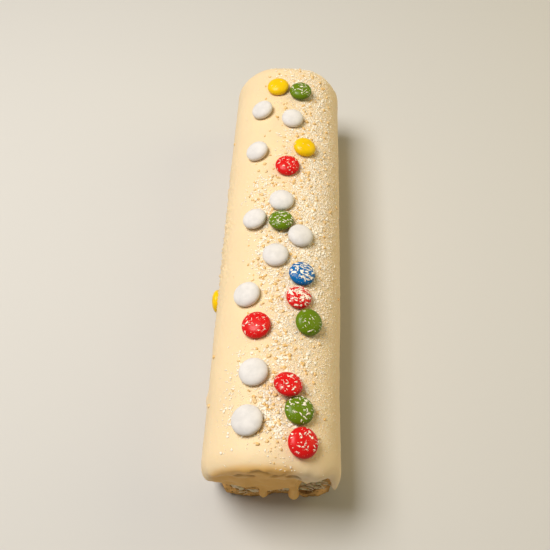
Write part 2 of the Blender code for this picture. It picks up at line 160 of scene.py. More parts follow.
# The drips: centre across, height of the tip, radius of the neck and of the bulb, height of the icing's
# edge that they hang from (mm)
FRONT_DRIPS = ((-3.8, 7.7, 2.1, 2.7, 18), (11.9, 9.8, 2.4, 3.1, 27))
BACK_DRIPS = ((9, 8, 2.1, 2.7, 20), (-14, 5, 2.0, 2.8, 20))
# The bulb of a drip: height above its tip and half width, as shares of the bulb's radius
DRIP_BULB = ((0.03, 0.26), (0.25, 0.66), (0.6, 0.92), (1, 1), (1.5, 0.95), (2.1, 0.84))
OPENING_DEPTH = 1.5 * MM  # how far inside the sponge's end an opening's cutter starts

# The filling's spiral: how deep under the icing it starts, how much deeper each turn lies, how many turns
# it makes, from which angle, and in how many steps
FIRST_TURN_DEPTH = 6.5 * MM
TURN_PITCH = 11.5 * MM
CREAM_TURNS = 1.75
CREAM_START = math.radians(98)
CREAM_STEPS = 96
CREAM_RECESS = 0.4 * MM  # how far its ends are set back from the sponge's
CREAM_TORN = 3 * MM  # how much further the cream is set back where the front end is torn
CREAM_ROUGHNESS = ((1, 2.2 * MM), (0.6, 0.9 * MM))  # share and size of the lumps on its ends
SPONGE_ROUGHNESS = ((0.45 * MM, 3.4 * MM), (0.3 * MM, 1.3 * MM))  # height and size of those on the sponge's
END_LAYER = 0.05 * MM  # what lies this near to a cut end's plane belongs to it
SPONGE_STEP = 0.8 * MM
CREAM_STEP = 0.7 * MM
SKIN_DEPTH = 0.9 * MM  # how deep the sheet's baked skin goes

# The cut front end: heights over which its sag fades out, and places across it where the sag on the left
# ends, where the torn part on the right starts and where the left side stops sinking back
SAG_HEIGHTS = (12 * MM, 24 * MM)
SAG_LEFT_END = (-4 * MM, 3 * MM)
TORN_START = (13 * MM, 17 * MM)
SUNK_LEFT_END = (-28 * MM, -23 * MM)
SAG_LEFT = 2.4  # how far the two sides sag forward below (mm)
SAG_RIGHT = 1.5
TORN_DEPTH = 4 * MM  # how far the torn part and the left side sink back
SUNK_LEFT = 5 * MM

# Where torn threads of cream hang out of the front end: left, right, lowest, highest (mm), how many
SHRED_PLACES = ((15, 22, 17, 34, 44), (21, 28, 20, 35, 30), (-16, -11, 9, 14, 5), (3, 8, 10, 14, 4))

SWEET_SINK = 1.1 * MM  # how deep a sweet is pressed in
SWEET_FULLNESS = 0.8  # power of its outline, where less is blunter at the rim
SWEET_BUMPS = 2.6 * MM  # size of the bumps in its coat, and their height (mm) on white and other ones
WHITE_UNEVENNESS = 0.09
GLOSSY_UNEVENNESS = 0.04
# The sweets: colour, station, angle, diameter (mm), how far the near and the right edge are raised
# (degrees), and how much of the top is covered in flecks
SWEETS = (
    ("yellow", 243, -10.5, 13.9, 0, 0, 0.10),
    ("green", 239, 13, 14.0, 0, 8, 0.42),
    ("white", 223, -25, 13.8, 0, 4, 0),
    ("white", 214, 6, 13.4, -4, 0, 0),
    ("white", 187.5, -27, 14.0, 0, 4, 0),
    ("yellow", 191, 19, 13.8, 0, 0, 0.14),
    ("red", 174.5, 3, 14.4, 0, 0, 0.36),
    ("white", 147.5, -1, 14.2, 0, 0, 0),
    ("white", 135, -24.5, 14.0, 6, 0, 0),
    ("green", 132.5, -0.5, 14.0, 10, 0, 0.5),
    ("white", 123.5, 17.5, 14.2, 0, 0, 0),
    ("white", 109.5, -4, 14.4, 0, 0, 0),
    ("blue", 98.5, 20, 14.4, 0, 0, 0.60),
    ("white", 85, -27, 14.8, 0, 0, 0),
    ("red", 83.5, 18, 13.6, 0, 0, 0.66),
    ("yellow", 106.5, -107, 14.0, 0, 0, 0),
    ("red", 65.5, -17, 15.2, 0, 0, 0.38),
    ("green", 69, 26.5, 14.6, -8, 0, 0.34),
    ("white", 39, -16.5, 14.9, 0, 0, 0),
    ("red", 32, 11, 14.4, 18, -4, 0.44),
    ("green", 20, 20.5, 14.6, 0, 0, 0.44),
    ("white", 14, -19, 15.6, 0, 0, 0),
    ("red", 4, 23.5, 14.8, -7, 0, 0.42),
)

# The large nut crumbs, which the icing's own solid carries too
CRUMBS = 120
CRUMB_SIZES = (1.5 * MM, 1.0 * MM)  # radii of the largest and the smallest
CRUMB_BAND = (-34, 8, 52)  # angles between which they lie: left, most often, right
CRUMB_CLEARANCE = 0.7 * MM  # what is kept free between them and round the sweets
CRUMB_MARGIN = 3  # distance from the ends (mm)
CRUMB_TRIES = 60  # how often a free place is looked for
# Those on the roll's sides: station, angle, radius (mm)
SIDE_CRUMBS = (
    (29, -66, 1.5), (136, -70, 1.2), (56, -64, 1.1),
    (212, -68, 1.2), (160, 64, 1.2), (96, 68, 1.1),
)

# The fine topping
NUT_SIZES = (0.45, 0.6, 0.75, 0.95)  # radii of the small nut crumbs (mm)
FLAKE_LENGTHS = (0.5, 2.6, 0.8)  # shortest, longest and most common length of a flake (mm)
FLAKES_ON_SWEET = 36  # on a sweet whose top is all covered
GRAIN_SIZES = (0.14, 0.42, 0.22)  # smallest, largest and most common radius of a sugar grain (mm)
# Where it lies: station, angle, spread along the roll (mm), spread round it (degrees), share
NUT_DRIFTS = (
    (235, 20, 22, 14, 3), (185, 14, 25, 13, 4), (150, 10, 15, 20, 3), (115, 12, 22, 14, 4),
    (85, 4, 15, 12, 3), (55, 8, 18, 12, 3), (28, -2, 12, 9, 3), (40, 16, 14, 8, 2), (150, -24, 9, 6, 0.5),
    (140, -14, 20, 8, 1.6), (104, -14, 12, 7, 1.5), (12, 3, 7, 8, 2.4),
)
FLAKE_DRIFTS = (
    (250, 14, 8, 16, 3), (228, 28, 14, 10, 5), (200, 30, 14, 10, 4), (176, 30, 18, 13, 5),
    (153, 22, 10, 14, 4), (157, -24, 8, 6, 1.2), (140, 24, 14, 12, 5), (118, 6, 10, 14, 4),
    (112, 32, 16, 10, 6), (92, 2, 10, 9, 4), (85, 30, 12, 9, 3), (68, 6, 12, 8, 3), (52, 8, 10, 11, 4),
    (30, 0, 10, 8, 4), (42, 24, 14, 10, 3), (15, -1, 6, 8, 3.5), (22, -36, 10, 5, 1), (44, -30, 8, 6, 0.8),
    (150, -12, 10, 7, 2), (122, -15, 9, 6, 1.6), (100, -14, 10, 6, 1.6), (205, 10, 12, 9, 2),
    (8, 12, 6, 9, 1.4),
)
DUST_DRIFTS = (
    (215, 30, 30, 13, 4), (165, 32, 26, 14, 4), (120, 28, 26, 15, 5), (80, 26, 22, 14, 3),
    (42, 20, 20, 14, 3), (30, -6, 14, 14, 1.5), (110, 0, 22, 12, 2), (240, 12, 12, 16, 2),
)

# Colours of the icing by place, each with the values from which to which it comes in: the sugar by angle
# from the top (radians) and along the roll, the golden icing on the lip and on the curtain below it, partly
# thin icing and partly painted shade of the front face
SUGAR_RIGHT_OF = (0.12, 0.55)
SUGAR_LEFT_OF = (1.55, 1.0)
SUGAR_BEHIND = (-0.134, -0.122)
GOLDEN_LIP_AHEAD_OF = (-0.1370, -0.1412)
GOLDEN_LIP_LEFT_OF = (0.016, 0.007)
GOLDEN_CURTAIN_BELOW = (0.056, 0.049)
GOLDEN_CURTAIN_AHEAD_OF = (-0.129, -0.133)
GOLDEN_WITHIN = (0.031, 0.026)
# Colours of the baked skin of the sponge and of the paler patches on nut crumbs
BAKED_SKIN = (0.28, 0.12, 0.03)
PALE_NUT = (0.97, 0.80, 0.52)

# The stage: place, size, power (W) and colour of each light, and where they point
KEY_LIGHT = ((-0.40, 0.04, 0.93), 0.45, 10.2, (1.0, 0.98, 0.95))
FILL_LIGHT = ((0.85, 0.25, 0.5), 0.8, 3.25, (1.0, 0.845, 0.38))
LIGHT_AIM = Vector((0, 0, 0.03))
STUDIO_COLOUR = (1.0, 0.93, 0.79)
STUDIO_STRENGTH = 0.2
FLOOR_SIZE = 3
CAMERA_PLACE = (0.007, -0.2455, 0.382)
CAMERA_LENS = 46.28
CAMERA_SENSOR = 36
CAMERA_DOWN = math.radians(56.4)  # how far the camera looks down, and how far to the left
CAMERA_TURN = math.radians(2.5)


class RollSizes(bpy.types.PropertyGroup):
    """The sizes of the roll and the amounts of its topping."""

    roll_width: FloatProperty(
        name="Roll width", description="Width of the iced roll", default=0.070, unit="LENGTH"
    )
    roll_top: FloatProperty(
        name="Roll height", description="Height of the iced roll's top", default=0.065, unit="LENGTH"
    )
    sponge_length: FloatProperty(
        name="Sponge length", description="Length of the sponge inside the icing", default=0.265,
        unit="LENGTH",
    )
    widest_height: FloatProperty(
        name="Widest height", description="Height at which the roll is widest", default=0.031, unit="LENGTH"
    )
    underside_sag: FloatProperty(
        name="Underside sag", description="How far the round section would reach below its flat underside",
        default=0.004, unit="LENGTH",
    )
    icing_thickness: FloatProperty(
        name="Icing thickness", description="Thickness of the coat of icing", default=0.0032, unit="LENGTH"
    )
    icing_grain: FloatProperty(
        name="Icing grain", description="Size of the faces that the icing is made of", default=0.00087,
        unit="LENGTH",
    )
    cream_thickness: FloatProperty(
        name="Cream thickness", description="Thickness of the cream between the turns", default=0.0034,
        unit="LENGTH",
    )
    sweet_thickness: FloatProperty(
        name="Sweet thickness", description="Thickness of a sweet in its middle", default=0.0066,
        unit="LENGTH",
    )
    small_nuts: IntProperty(
        name="Small nut crumbs", description="How many small nut crumbs", default=600, min=0
    )
    flakes: IntProperty(name="White flakes", description="How many white flakes", default=11000, min=0)
    dust: IntProperty(name="Sugar grains", description="How many grains of sugar", default=20000, min=0)


class RollColours(bpy.types.PropertyGroup):
    """The colours of the roll's pieces."""

    icing: FloatVectorProperty(
        name="Icing", description="Colour of the icing", subtype="COLOR", default=(0.852, 0.656, 0.40)
    )
    # Golden brown of thin icing that ran down the front end, partly painted shade of the front face
    thin_icing_and_front_shade: FloatVectorProperty(
        name="Thin icing", description="Colour of the icing that ran down the front end", subtype="COLOR",
        default=(0.84, 0.48, 0.13),
    )
    sponge: FloatVectorProperty(
        name="Sponge", description="Colour of the sponge's crumb", subtype="COLOR", default=(0.98, 0.56, 0.18)
    )
    cream: FloatVectorProperty(
        name="Cream", description="Colour of the filling", subtype="COLOR", default=(0.93, 0.77, 0.49)
    )
    nut: FloatVectorProperty(
        name="Nut crumbs", description="Colour of the toasted nut crumbs", subtype="COLOR",
        default=(0.80, 0.50, 0.17),
    )
    flake: FloatVectorProperty(
        name="Flakes", description="Colour of the white flakes", subtype="COLOR", default=(1.0, 0.91, 0.76)
    )
    sweet_yellow: FloatVectorProperty(
        name="Yellow sweets", description="Sugar coat of the yellow sweets", subtype="COLOR",
        default=(0.90, 0.57, 0.002),
    )
    sweet_green: FloatVectorProperty(
        name="Green sweets", description="Sugar coat of the green sweets", subtype="COLOR",
        default=(0.13, 0.215, 0.004),
    )
    sweet_white: FloatVectorProperty(
        name="White sweets", description="Sugar coat of the white sweets", subtype="COLOR",
        default=(0.765, 0.728, 0.70),
    )
    sweet_red: FloatVectorProperty(
        name="Red sweets", description="Sugar coat of the red sweets", subtype="COLOR",
        default=(0.72, 0.010, 0.010),
    )
    sweet_blue: FloatVectorProperty(
        name="Blue sweets", description="Sugar coat of the blue sweets", subtype="COLOR",
        default=(0.0, 0.14, 0.42),
    )
    floor: FloatVectorProperty(
        name="Floor", description="Colour of the floor", subtype="COLOR", default=(0.62, 0.60, 0.57)
    )


class RollForm:
    """The roll's shape in numbers, from the sizes in the sidebar."""

    def __init__(self, sizes):
        self.half_width = sizes.roll_width / 2
        self.top = sizes.roll_top
        self.half_length = sizes.sponge_length / 2
        self.middle = sizes.widest_height
        self.sag = sizes.underside_sag
        self.icing = sizes.icing_thickness
        self.cream = sizes.cream_thickness
        self.sweet_half = sizes.sweet_thickness / 2

    def polar_radius(self, angle, grow=0.0):
        """Distance from the section's middle to the roll's surface, grown outwards."""
        if math.cos(angle) >= 0:
            half_height = self.top - self.middle + grow
            power = UPPER_SQUARENESS
        else:
            half_height = self.middle + self.sag + grow
            power = LOWER_SQUARENESS
        across = abs(math.sin(angle)) / (self.half_width + grow)
        up = abs(math.cos(angle)) / half_height
        return (across**power + up**power) ** (-1 / power)

    def unevenness(self, angle, y):
        """How far the icing stands proud of the plain section."""
        long_wave = math.sin(y / LONG_WAVE + 1.3 * math.sin(angle))
        short_wave = math.sin(y / SHORT_WAVE + 2 * angle + 1)
        return WAVE * (0.6 * long_wave + 0.4 * short_wave)

    def coat_point(self, angle, y, grow=0.0):
        """A point of the icing's outside, away from the ends."""
        radius = self.polar_radius(angle, grow) + self.unevenness(angle, y)
        return Vector((radius * math.sin(angle), y, self.middle + radius * math.cos(angle)))

    def coat_axes(self, angle, y):
        """Directions on the icing: to the right along the section, away from the front, outwards."""
        step = 0.01
        right = (self.coat_point(angle + step, y) - self.coat_point(angle - step, y)).normalized()
        away = Vector((0, 1, 0))
        return right, away, right.cross(away)

    def station_y(self, station):
        """The Y of a place given in mm from the sponge's front end."""
        return station * MM - self.half_length

    def skew_front(self, point):
        """Moves a point in the front third of the roll's nearer half with the askew cut."""
        nearness = within(-point.y / self.half_length * 3 - 2)
        return point - Vector((0, FRONT_SKEW * point.x * nearness, 0))

    def end_round(self, angle, outward):
        """Rounding of one of the coat's ends, wider at the top than at the sides."""
        top = FRONT_ROUND if outward < 0 else BACK_ROUND
        return SIDE_ROUND + (top - SIDE_ROUND) * max(0, math.cos(angle))

    def folds(self, x, z):
        """How far the sagging icing of the back end stands out: broad rolls with narrow creases between."""
        wander = waves(x, FOLD_WANDER)
        roll = 0.5 + 0.5 * math.cos(2 * math.pi * (z - FOLD_HEIGHT + wander) / FOLD_SPACING)
        wrinkle = WRINKLE * math.sin((z + 1.3 * wander) / WRINKLE_SPACING) * (1 - roll)
        return FOLD * (2.5 * roll**0.62 - 1.25) + wrinkle

    def front_relief(self, x, z):
        """How far the front end stands out: a bulging lip, a crease below it and a thin curtain."""
        above = z - height_on(FRONT_CREASE, x) + waves(x, CREASE_WANDER)
        sides = 1 - smooth(abs(x), *LIP_SIDES)
        thinned = smooth(x, *LIP_RIGHT)
        low, high = (left + (right - left) * thinned for left, right in zip(*LIP_FADE))
        fade = smooth(z, low * MM, high * MM)
        lip = LIP * fade * sides * math.sin(math.pi / 2 * within(above / LIP_HEIGHT)) ** 0.8
        return CURTAIN + lip - CREASE * sides * swell(above, CREASE_WIDTH)

    def fold_depth(self, co):
        """How deep a fold of the front face is at a place."""
        depth = 0
        for amount, line in FRONT_FOLDS:
            left, right = line[0][0] * MM, line[-1][0] * MM
            ends = smooth(co.x, left, left + FOLD_ENDS) * (1 - smooth(co.x, right - FOLD_ENDS, right))
            depth = max(depth, amount * MM * ends * swell(co.z - height_on(line, co.x), FOLD_WIDTH))
        return depth * (1 - smooth(co.y, *FOLD_FACE))

    def edge_bead(self, x, z, edge):
        """How far the icing swells just above the lower edge of an end face."""
        return EDGE_BEAD * swell(z - height_on(edge, x) - BEAD_RISE, BEAD_WIDTH)

    def end_relief(self, x, z, outward):
        """How far an end face of the coat stands out at a place."""
        uneven = lumps(Vector((x, z, outward)), END_LUMPS)
        if outward < 0:
            return self.front_relief(x, z) + self.edge_bead(x, z, FRONT_OPENING) + uneven
        return self.folds(x, z) + self.edge_bead(x, z, BACK_OPENING) + uneven

    def coat_place(self, around, along):
        """A point of the coat's outside: around goes once round from -1 to 1, along from end to end."""
        angle = math.pi * around
        outward = -1 if along < 0 else 1
        share = abs(along)
        rounding = self.end_round(angle, outward)
        reach = self.half_length + self.icing
        if share <= BODY_SHARE:
            return self.coat_point(angle, outward * (reach - rounding) * share / BODY_SHARE)
        face_radius = self.polar_radius(angle, -rounding)
        if share <= ROUND_SHARE:
            turn = math.pi / 2 * (share - BODY_SHARE) / (ROUND_SHARE - BODY_SHARE)
            relief = self.end_relief(
                face_radius * math.sin(angle), self.middle + face_radius * math.cos(angle), outward
            )
            forward = math.sin(turn)
            y = outward * (reach - (1 - forward) * rounding + forward * relief)
            return self.coat_point(angle, y, -(1 - math.cos(turn)) * rounding)
        inner = (1 - share) / (1 - ROUND_SHARE)
        x = inner * face_radius * math.sin(angle)
        z = self.middle + inner * face_radius * math.cos(angle)
        return Vector((x, outward * (reach + self.end_relief(x, z, outward)), z))

    def filling_radius(self, turn):
        """Distance of the filling's middle from the section's middle, turn going from 0 to CREAM_TURNS."""
        angle = CREAM_START + 2 * math.pi * turn
        return self.polar_radius(angle, -self.icing) - FIRST_TURN_DEPTH - TURN_PITCH * turn

    def filling_point(self, turn, side):
        """A point of the filling's spiral, side being its distance across from the filling's middle."""
        angle = CREAM_START + 2 * math.pi * turn
        radius = self.filling_radius(turn) + side
        return Vector((radius * math.sin(angle), 0, self.middle + radius * math.cos(angle)))

    def front_stand(self, x, z):
        """How far the cut front end stands out: it sags forward below and sinks back at its sides."""
        low = 1 - smooth(z, *SAG_HEIGHTS)
        left = 1 - smooth(x, *SAG_LEFT_END)
        right = smooth(x, *TORN_START)
        proud = low * (SAG_LEFT * left + SAG_RIGHT * right) * MM
        return proud - TORN_DEPTH * (1 - low) * right - SUNK_LEFT * (1 - smooth(x, *SUNK_LEFT_END))

    def in_end(self, co, outward, reach):
        """Whether a place lies in a cut end, reach being the end's distance from the roll's middle."""
        return outward * (co.y + FRONT_SKEW * co.x * (outward < 0)) > reach - END_LAYER

    def sweet_frame(self, sweet):
        """Where a sweet lies: its middle and its own axes."""
        station, angle, diameter, near_lift, right_lift = sweet[1:6]
        y = self.station_y(station)
        turn = math.radians(angle)
        right, away, normal = self.coat_axes(turn, y)
        near_tilt = Matrix.Rotation(-math.radians(near_lift), 3, "X")
        right_tilt = Matrix.Rotation(-math.radians(right_lift), 3, "Y")
        rise = 0.75 * diameter / 2 * MM * math.sin(math.radians(abs(near_lift) + abs(right_lift)))
        middle = self.coat_point(turn, y) + normal * (self.sweet_half - SWEET_SINK + rise)
        lie = Matrix((right, away, normal)).transposed() @ near_tilt @ right_tilt
        return Matrix.Translation(middle) @ lie.to_4x4()


def within(value, low=0, high=1):
    """A value kept between two limits."""
    return max(low, min(high, value))


def smooth(value, low, high):
    """How far a value has come from low to high, eased at both ends."""
    share = within((value - low) / (high - low))
    return share * share * (3 - 2 * share)


def swell(offset, width):
    """A soft swelling: 1 where the offset is zero, falling to nothing a few widths off."""
    return math.exp(-((offset / width) ** 2))


def waves(place, parts):
    """Sine waves added up, each given as (height, length, phase)."""
    return sum(height * math.sin(place / length + phase) for height, length, phase in parts)


def lumps(place, parts):
    """Soft noises added up, each given as (height, size)."""
    return sum(height * noise.noise(place / size) for height, size in parts)


def height_on(line, x):
    """Height of a line of (across, height) points in mm at a place across the roll."""
    across = x / MM
    for (left, low), (right, high) in zip(line, line[1:]):
        if left <= across <= right:
            return (low + (high - low) * (across - left) / (right - left)) * MM
    return line[-1][1] * MM


# Mesh helpers


def keep_mesh(name, bm):
    """Turns a bmesh into a mesh and frees it."""
    mesh = bpy.data.meshes.new(name)
    bm.to_mesh(mesh)
    bm.free()
    return mesh


def made(result, kind):
    """The elements of one kind among those that a bmesh operation made."""
    return [item for item in result["geom"] if isinstance(item, kind)]


def skew_all(bm, form):
    """Moves a whole bmesh with the askew cut of the front end."""
    for vert in bm.verts:
        vert.co = form.skew_front(vert.co)


def finish_piece(name, bm, slot, finish, *nodes):
    """Makes a bmesh a shown piece that rides on the roll and stands for its CAD nodes."""
    mesh = keep_mesh(name, bm)
    mesh.shade_smooth()
    mesh.materials.append(finish)
    piece = bpy.data.objects.new(name, mesh)
    bpy.context.scene.collection.objects.link(piece)
    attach(piece, "root")
    if nodes:
        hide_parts(*nodes)


def work_object(name, bm):
    """Puts a bmesh in the scene as an object that isn't a finished piece."""
    obj = bpy.data.objects.new(name, keep_mesh(name, bm))
    bpy.context.scene.collection.objects.link(obj)
    return obj


def apply_modifiers(obj):
    """Makes an object's modifiers part of its mesh."""
    evaluated = obj.evaluated_get(bpy.context.evaluated_depsgraph_get())
    mesh = bpy.data.meshes.new_from_object(evaluated)
    obj.modifiers.clear()
    obj.data = mesh


def take_out(obj, cutters):
    """Cuts the cutters' shapes out of an object and removes the cutters."""
    for cutter in cutters:
        modifier = obj.modifiers.new(cutter.name, "BOOLEAN")
        modifier.operation = "DIFFERENCE"
        modifier.solver = "EXACT"
        modifier.object = cutter
    apply_modifiers(obj)
    for cutter in cutters:
        bpy.data.objects.remove(cutter)


def mesh_again(obj):
    """Moves a work object's mesh to a new bmesh and removes the object."""
    bm = bmesh.new()
    bm.from_mesh(obj.data)
    bpy.data.objects.remove(obj)
    return bm


def extrude_along(bm, move):
    """Extrudes all faces of a flat bmesh into a closed solid."""
    result = bmesh.ops.extrude_face_region(bm, geom=bm.faces[:])
    bmesh.ops.translate(bm, verts=made(result, bmesh.types.BMVert), vec=move)
    bmesh.ops.recalc_face_normals(bm, faces=bm.faces)


def section_solid(form, grow, floor, half_length):
    """The roll's plain section run through a length, cut flat at the floor's height."""
    bm = bmesh.new()
    bmesh.ops.create_circle(bm, cap_ends=True, segments=SECTION_POINTS, radius=1)
    for vert in bm.verts:
        angle = math.atan2(vert.co.x, vert.co.y)
        radius = form.polar_radius(angle, grow)
        vert.co = Vector((radius * math.sin(angle), -half_length, form.middle + radius * math.cos(angle)))
        vert.co.z = max(floor, vert.co.z)
    extrude_along(bm, Vector((0, 2 * half_length, 0)))
    skew_all(bm, form)
    return bm


def spiral_solid(form, thickness, overrun, half_length):
    """The filling's spiral strip, run through a length."""
    turns = [CREAM_TURNS * i / CREAM_STEPS for i in range(CREAM_STEPS + 1)]
    turns[0] -= overrun / (2 * math.pi * form.filling_radius(turns[0]))
    turns[-1] += overrun / (2 * math.pi * form.filling_radius(turns[-1]))
    start = Vector((0, -half_length, 0))
    middle = Vector((0, -half_length, form.middle))
    sides = (-thickness / 2, thickness / 2)
    bm = bmesh.new()
    edge = bm.edges.new([bm.verts.new(form.filling_point(turns[0], side) + start) for side in sides])
    for turn in turns[1:]:
        result = bmesh.ops.extrude_edge_only(bm, edges=[edge])
        edge = made(result, bmesh.types.BMEdge)[0]
        ends = sorted(made(result, bmesh.types.BMVert), key=lambda vert: (vert.co - middle).length)
        for vert, side in zip(ends, sides):
            vert.co = form.filling_point(turn, side) + start
    extrude_along(bm, Vector((0, 2 * half_length, 0)))
    skew_all(bm, form)
    return bm


def dice_end(bm, form, outward, reach, step):
    """Cuts the faces that lie in an end into small squares, so that relief can be raised on them."""
    across, up = Vector((1, 0, 0)), Vector((0, 0, 1))
    for axis, normal, length in ((0, across, 2 * form.half_width), (2, up, form.top)):
        for i in range(1, int(length / step) + 1):
            place = Vector((-form.half_width, 0, 0))
            place[axis] += i * step
            faces = [
                face for face in bm.faces if all(form.in_end(vert.co, outward, reach) for vert in face.verts)
            ]
            edges = {edge for face in faces for edge in face.edges}
            verts = {vert for face in faces for vert in face.verts}
            bmesh.ops.bisect_plane(
                bm, geom=[*faces, *edges, *verts], dist=1e-6, plane_co=place, plane_no=normal
            )


def roughen_ends(bm, form, reach, step, relief):
    """Raises a relief on both cut ends of a filling, and makes its faces ready to be shown."""
    for outward in (-1, 1):
        dice_end(bm, form, outward, reach, step)
        for vert in bm.verts:
            if form.in_end(vert.co, outward, reach):
                vert.co.y += outward * relief(form, vert.co.x, vert.co.z, outward)
    bmesh.ops.triangulate(bm, faces=[face for face in bm.faces if len(face.verts) > 4])
    bmesh.ops.recalc_face_normals(bm, faces=bm.faces)


def surface_tree(*pieces):
    """What rays are cast against to lay topping on pieces."""
    bm = bmesh.new()
    for piece in pieces:
        bm.from_mesh(piece.data)
    tree = BVHTree.FromBMesh(bm)
    bm.free()
    return tree


# Icing


def coat_blank(form):
    """The coat's outer form as one closed skin, before it is hollowed."""
    around, along = COAT_GRID
    bm = bmesh.new()
    bmesh.ops.create_grid(bm, x_segments=around, y_segments=along, size=1)
    for vert in bm.verts:
        vert.co = form.skew_front(form.coat_place(vert.co.x, vert.co.y))
    bmesh.ops.remove_doubles(bm, verts=bm.verts, dist=1e-6)
    bmesh.ops.triangulate(bm, faces=bm.faces)
    bmesh.ops.recalc_face_normals(bm, faces=bm.faces)
    return bm


def hem_cutter(form):
    """What is cut off below the coat's wavy lower edge."""
    bm = bmesh.new()
    bmesh.ops.create_grid(bm, x_segments=1, y_segments=HEM_STEPS, size=1)
    for vert in bm.verts:
        y = vert.co.y * (form.half_length + FAR)
        if vert.co.x < 0:
            height = HEM + HEM_WAVE * waves(y, HEM_LEFT)
        else:
            height = HEM + HEM_WAVE * waves(y, HEM_RIGHT) + HEM_RISE * smooth(-y, *HEM_RISE_REACH)
        vert.co = Vector((vert.co.x * 2 * form.half_width, y, height))
    bmesh.ops.triangulate(bm, faces=bm.faces)
    extrude_along(bm, Vector((0, 0, -FAR)))
    return bm


def opening_cutter(form, edge, outward):
    """What is cut out of an end face below its wavy edge."""
    bm = bmesh.new()
    outline = [*edge, (edge[-1][0], -FAR / MM), (edge[0][0], -FAR / MM)]
    y = outward * (form.half_length - OPENING_DEPTH)
    bm.faces.new([bm.verts.new((x * MM, y, z * MM)) for x, z in outline])
    extrude_along(bm, Vector((0, outward * (FAR + OPENING_DEPTH), 0)))
    skew_all(bm, form)
    return bm


def add_drip(bm, form, drip, outward):
    """A drip that hangs from the icing of an end face and widens into it at its top."""
    across, tip, neck, bulb, root = (value * MM for value in drip)
    face = form.half_length
    hang = face + 2 * GAP + bulb
    sections = (  # height, half width, half depth, distance of its middle from the roll's middle
        *((tip + rise * bulb, width * bulb, width * bulb, hang) for rise, width in DRIP_BULB),
        (tip + 3 * bulb, neck, neck, hang),
        (root - 2 * MM, neck, neck, hang),
        (root, 1.2 * neck, 0.9 * neck, face + 0.9 * form.icing),
        (root + 2 * MM, 1.6 * neck, 0.8 * neck, face + 0.75 * form.icing),
        (root + 6 * MM, 2.4 * neck, 0.3 * form.icing, face + 0.6 * form.icing),
    )
    part = bmesh.new()
    bmesh.ops.create_circle(part, cap_ends=True, segments=24, radius=1)
    rim = part.edges[:]
    ring = part.verts[:]
    for number, (z, half_width, half_depth, y) in enumerate(sections):
        if number:
            result = bmesh.ops.extrude_edge_only(part, edges=rim)
            rim = made(result, bmesh.types.BMEdge)
            ring = made(result, bmesh.types.BMVert)
        for vert in ring:
            angle = vert_angle(vert, last) if number else math.atan2(vert.co.y, vert.co.x)
            x_reach, y_reach = half_width * math.cos(angle), half_depth * math.sin(angle)
            vert.co = Vector((across + x_reach, outward * y + y_reach, z))
        last = (across, outward * y, half_width, half_depth)
    bmesh.ops.edgeloop_fill(part, edges=rim)
    bmesh.ops.recalc_face_normals(part, faces=part.faces)
    skew_all(part, form)
    mesh = keep_mesh("drip", part)
    bm.from_mesh(mesh)
    bpy.data.meshes.remove(mesh)


def vert_angle(vert, section):
    """Which way round a drip's section a vertex lies."""
    across, y, half_width, half_depth = section
    return math.atan2((vert.co.y - y) / half_depth, (vert.co.x - across) / half_width)


def mark_inside(obj, form):
    """Gathers the vertices that only the sponge sees, so that they can be thinned."""
    group = obj.vertex_groups.new(name="inside")
    hidden = []
    for vert in obj.data.vertices:
        offset = Vector((vert.co.x, 0, vert.co.z - form.middle))
        angle = math.atan2(offset.x, offset.z)
        deep = offset.length < form.polar_radius(angle, -0.5 * form.icing)
        if deep and abs(vert.co.y) < form.half_length + INSIDE_END:
            hidden.append(vert.index)
    group.add(hidden, 1, "REPLACE")
    return len(hidden) / len(obj.data.vertices)


def surface_lumps(co):
    """How far the icing's skin stands out with what lies under it."""
    left = within((-co.x - GRIT_EDGE) / (6 * MM)) * swell(co.y, GRIT_REACH)
    grit = max(0, noise.noise(co / GRIT_SIZE) - 0.08)
    swelling = swell((co - SWELLING).length, SWELLING_WIDTH)
    return lumps(co, SKIN_LUMPS) + GRIT * left * grit + SWELLING_HEIGHT * swelling


# Topping


def crumb_places(form):
    """Where the large nut crumbs lie, as (station, angle, radius): the side ones, then the others by size."""
    draw = random.Random(7)
    places = [(station, angle, radius * MM) for station, angle, radius in SIDE_CRUMBS]
    taken = [
        (form.coat_point(math.radians(angle), form.station_y(station)), diameter * MM / 2)
        for colour, station, angle, diameter, *rest in SWEETS
    ]
    largest, smallest = CRUMB_SIZES
    left, middle, right = CRUMB_BAND
    for number in range(CRUMBS):
        radius = largest + (smallest - largest) * number / (CRUMBS - 1)
        for attempt in range(CRUMB_TRIES):
            station = draw.uniform(CRUMB_MARGIN, 2 * form.half_length / MM - CRUMB_MARGIN)
            angle = draw.triangular(left, right, middle)
            point = form.coat_point(math.radians(angle), form.station_y(station))
            if all((point - other).length > size + radius + CRUMB_CLEARANCE for other, size in taken):
                places.append((station, angle, radius))
                taken.append((point, radius * 2))
                break
    return places


def drift_place(draw, drifts):
    """A random place in one of the drifts of topping."""
    station, angle, along, around, share = draw.choices(drifts, [drift[4] for drift in drifts])[0]
    return draw.gauss(station, along), draw.gauss(angle, around)


def lay_on(trees, form, station, angle):
    """The first surface met on the way in to the middle: (point, normal, number of the tree, distance)."""
    outward = Vector((math.sin(math.radians(angle)), 0, math.cos(math.radians(angle))))
    start = Vector((0, form.station_y(station), form.middle)) + outward * 60 * MM
    found = None
    for number, tree in enumerate(trees):
        point, normal, _, distance = tree.ray_cast(start, -outward)
        if point and (found is None or distance < found[3]):
            found = (point, normal, number, distance)
    return found


def resting(found, lift, spin, lean, scale):
    """A placing on a surface that was met: turned about its normal, leaning, lifted and scaled."""
    point, normal = found[:2]
    stand = Vector((0, 0, 1)).rotation_difference(normal).to_matrix().to_4x4()
    turn = Matrix.Rotation(spin, 4, "Z") @ Matrix.Rotation(lean, 4, "X")
    return Matrix.Translation(point + normal * lift) @ stand @ turn @ Matrix.Diagonal((*scale, 1))


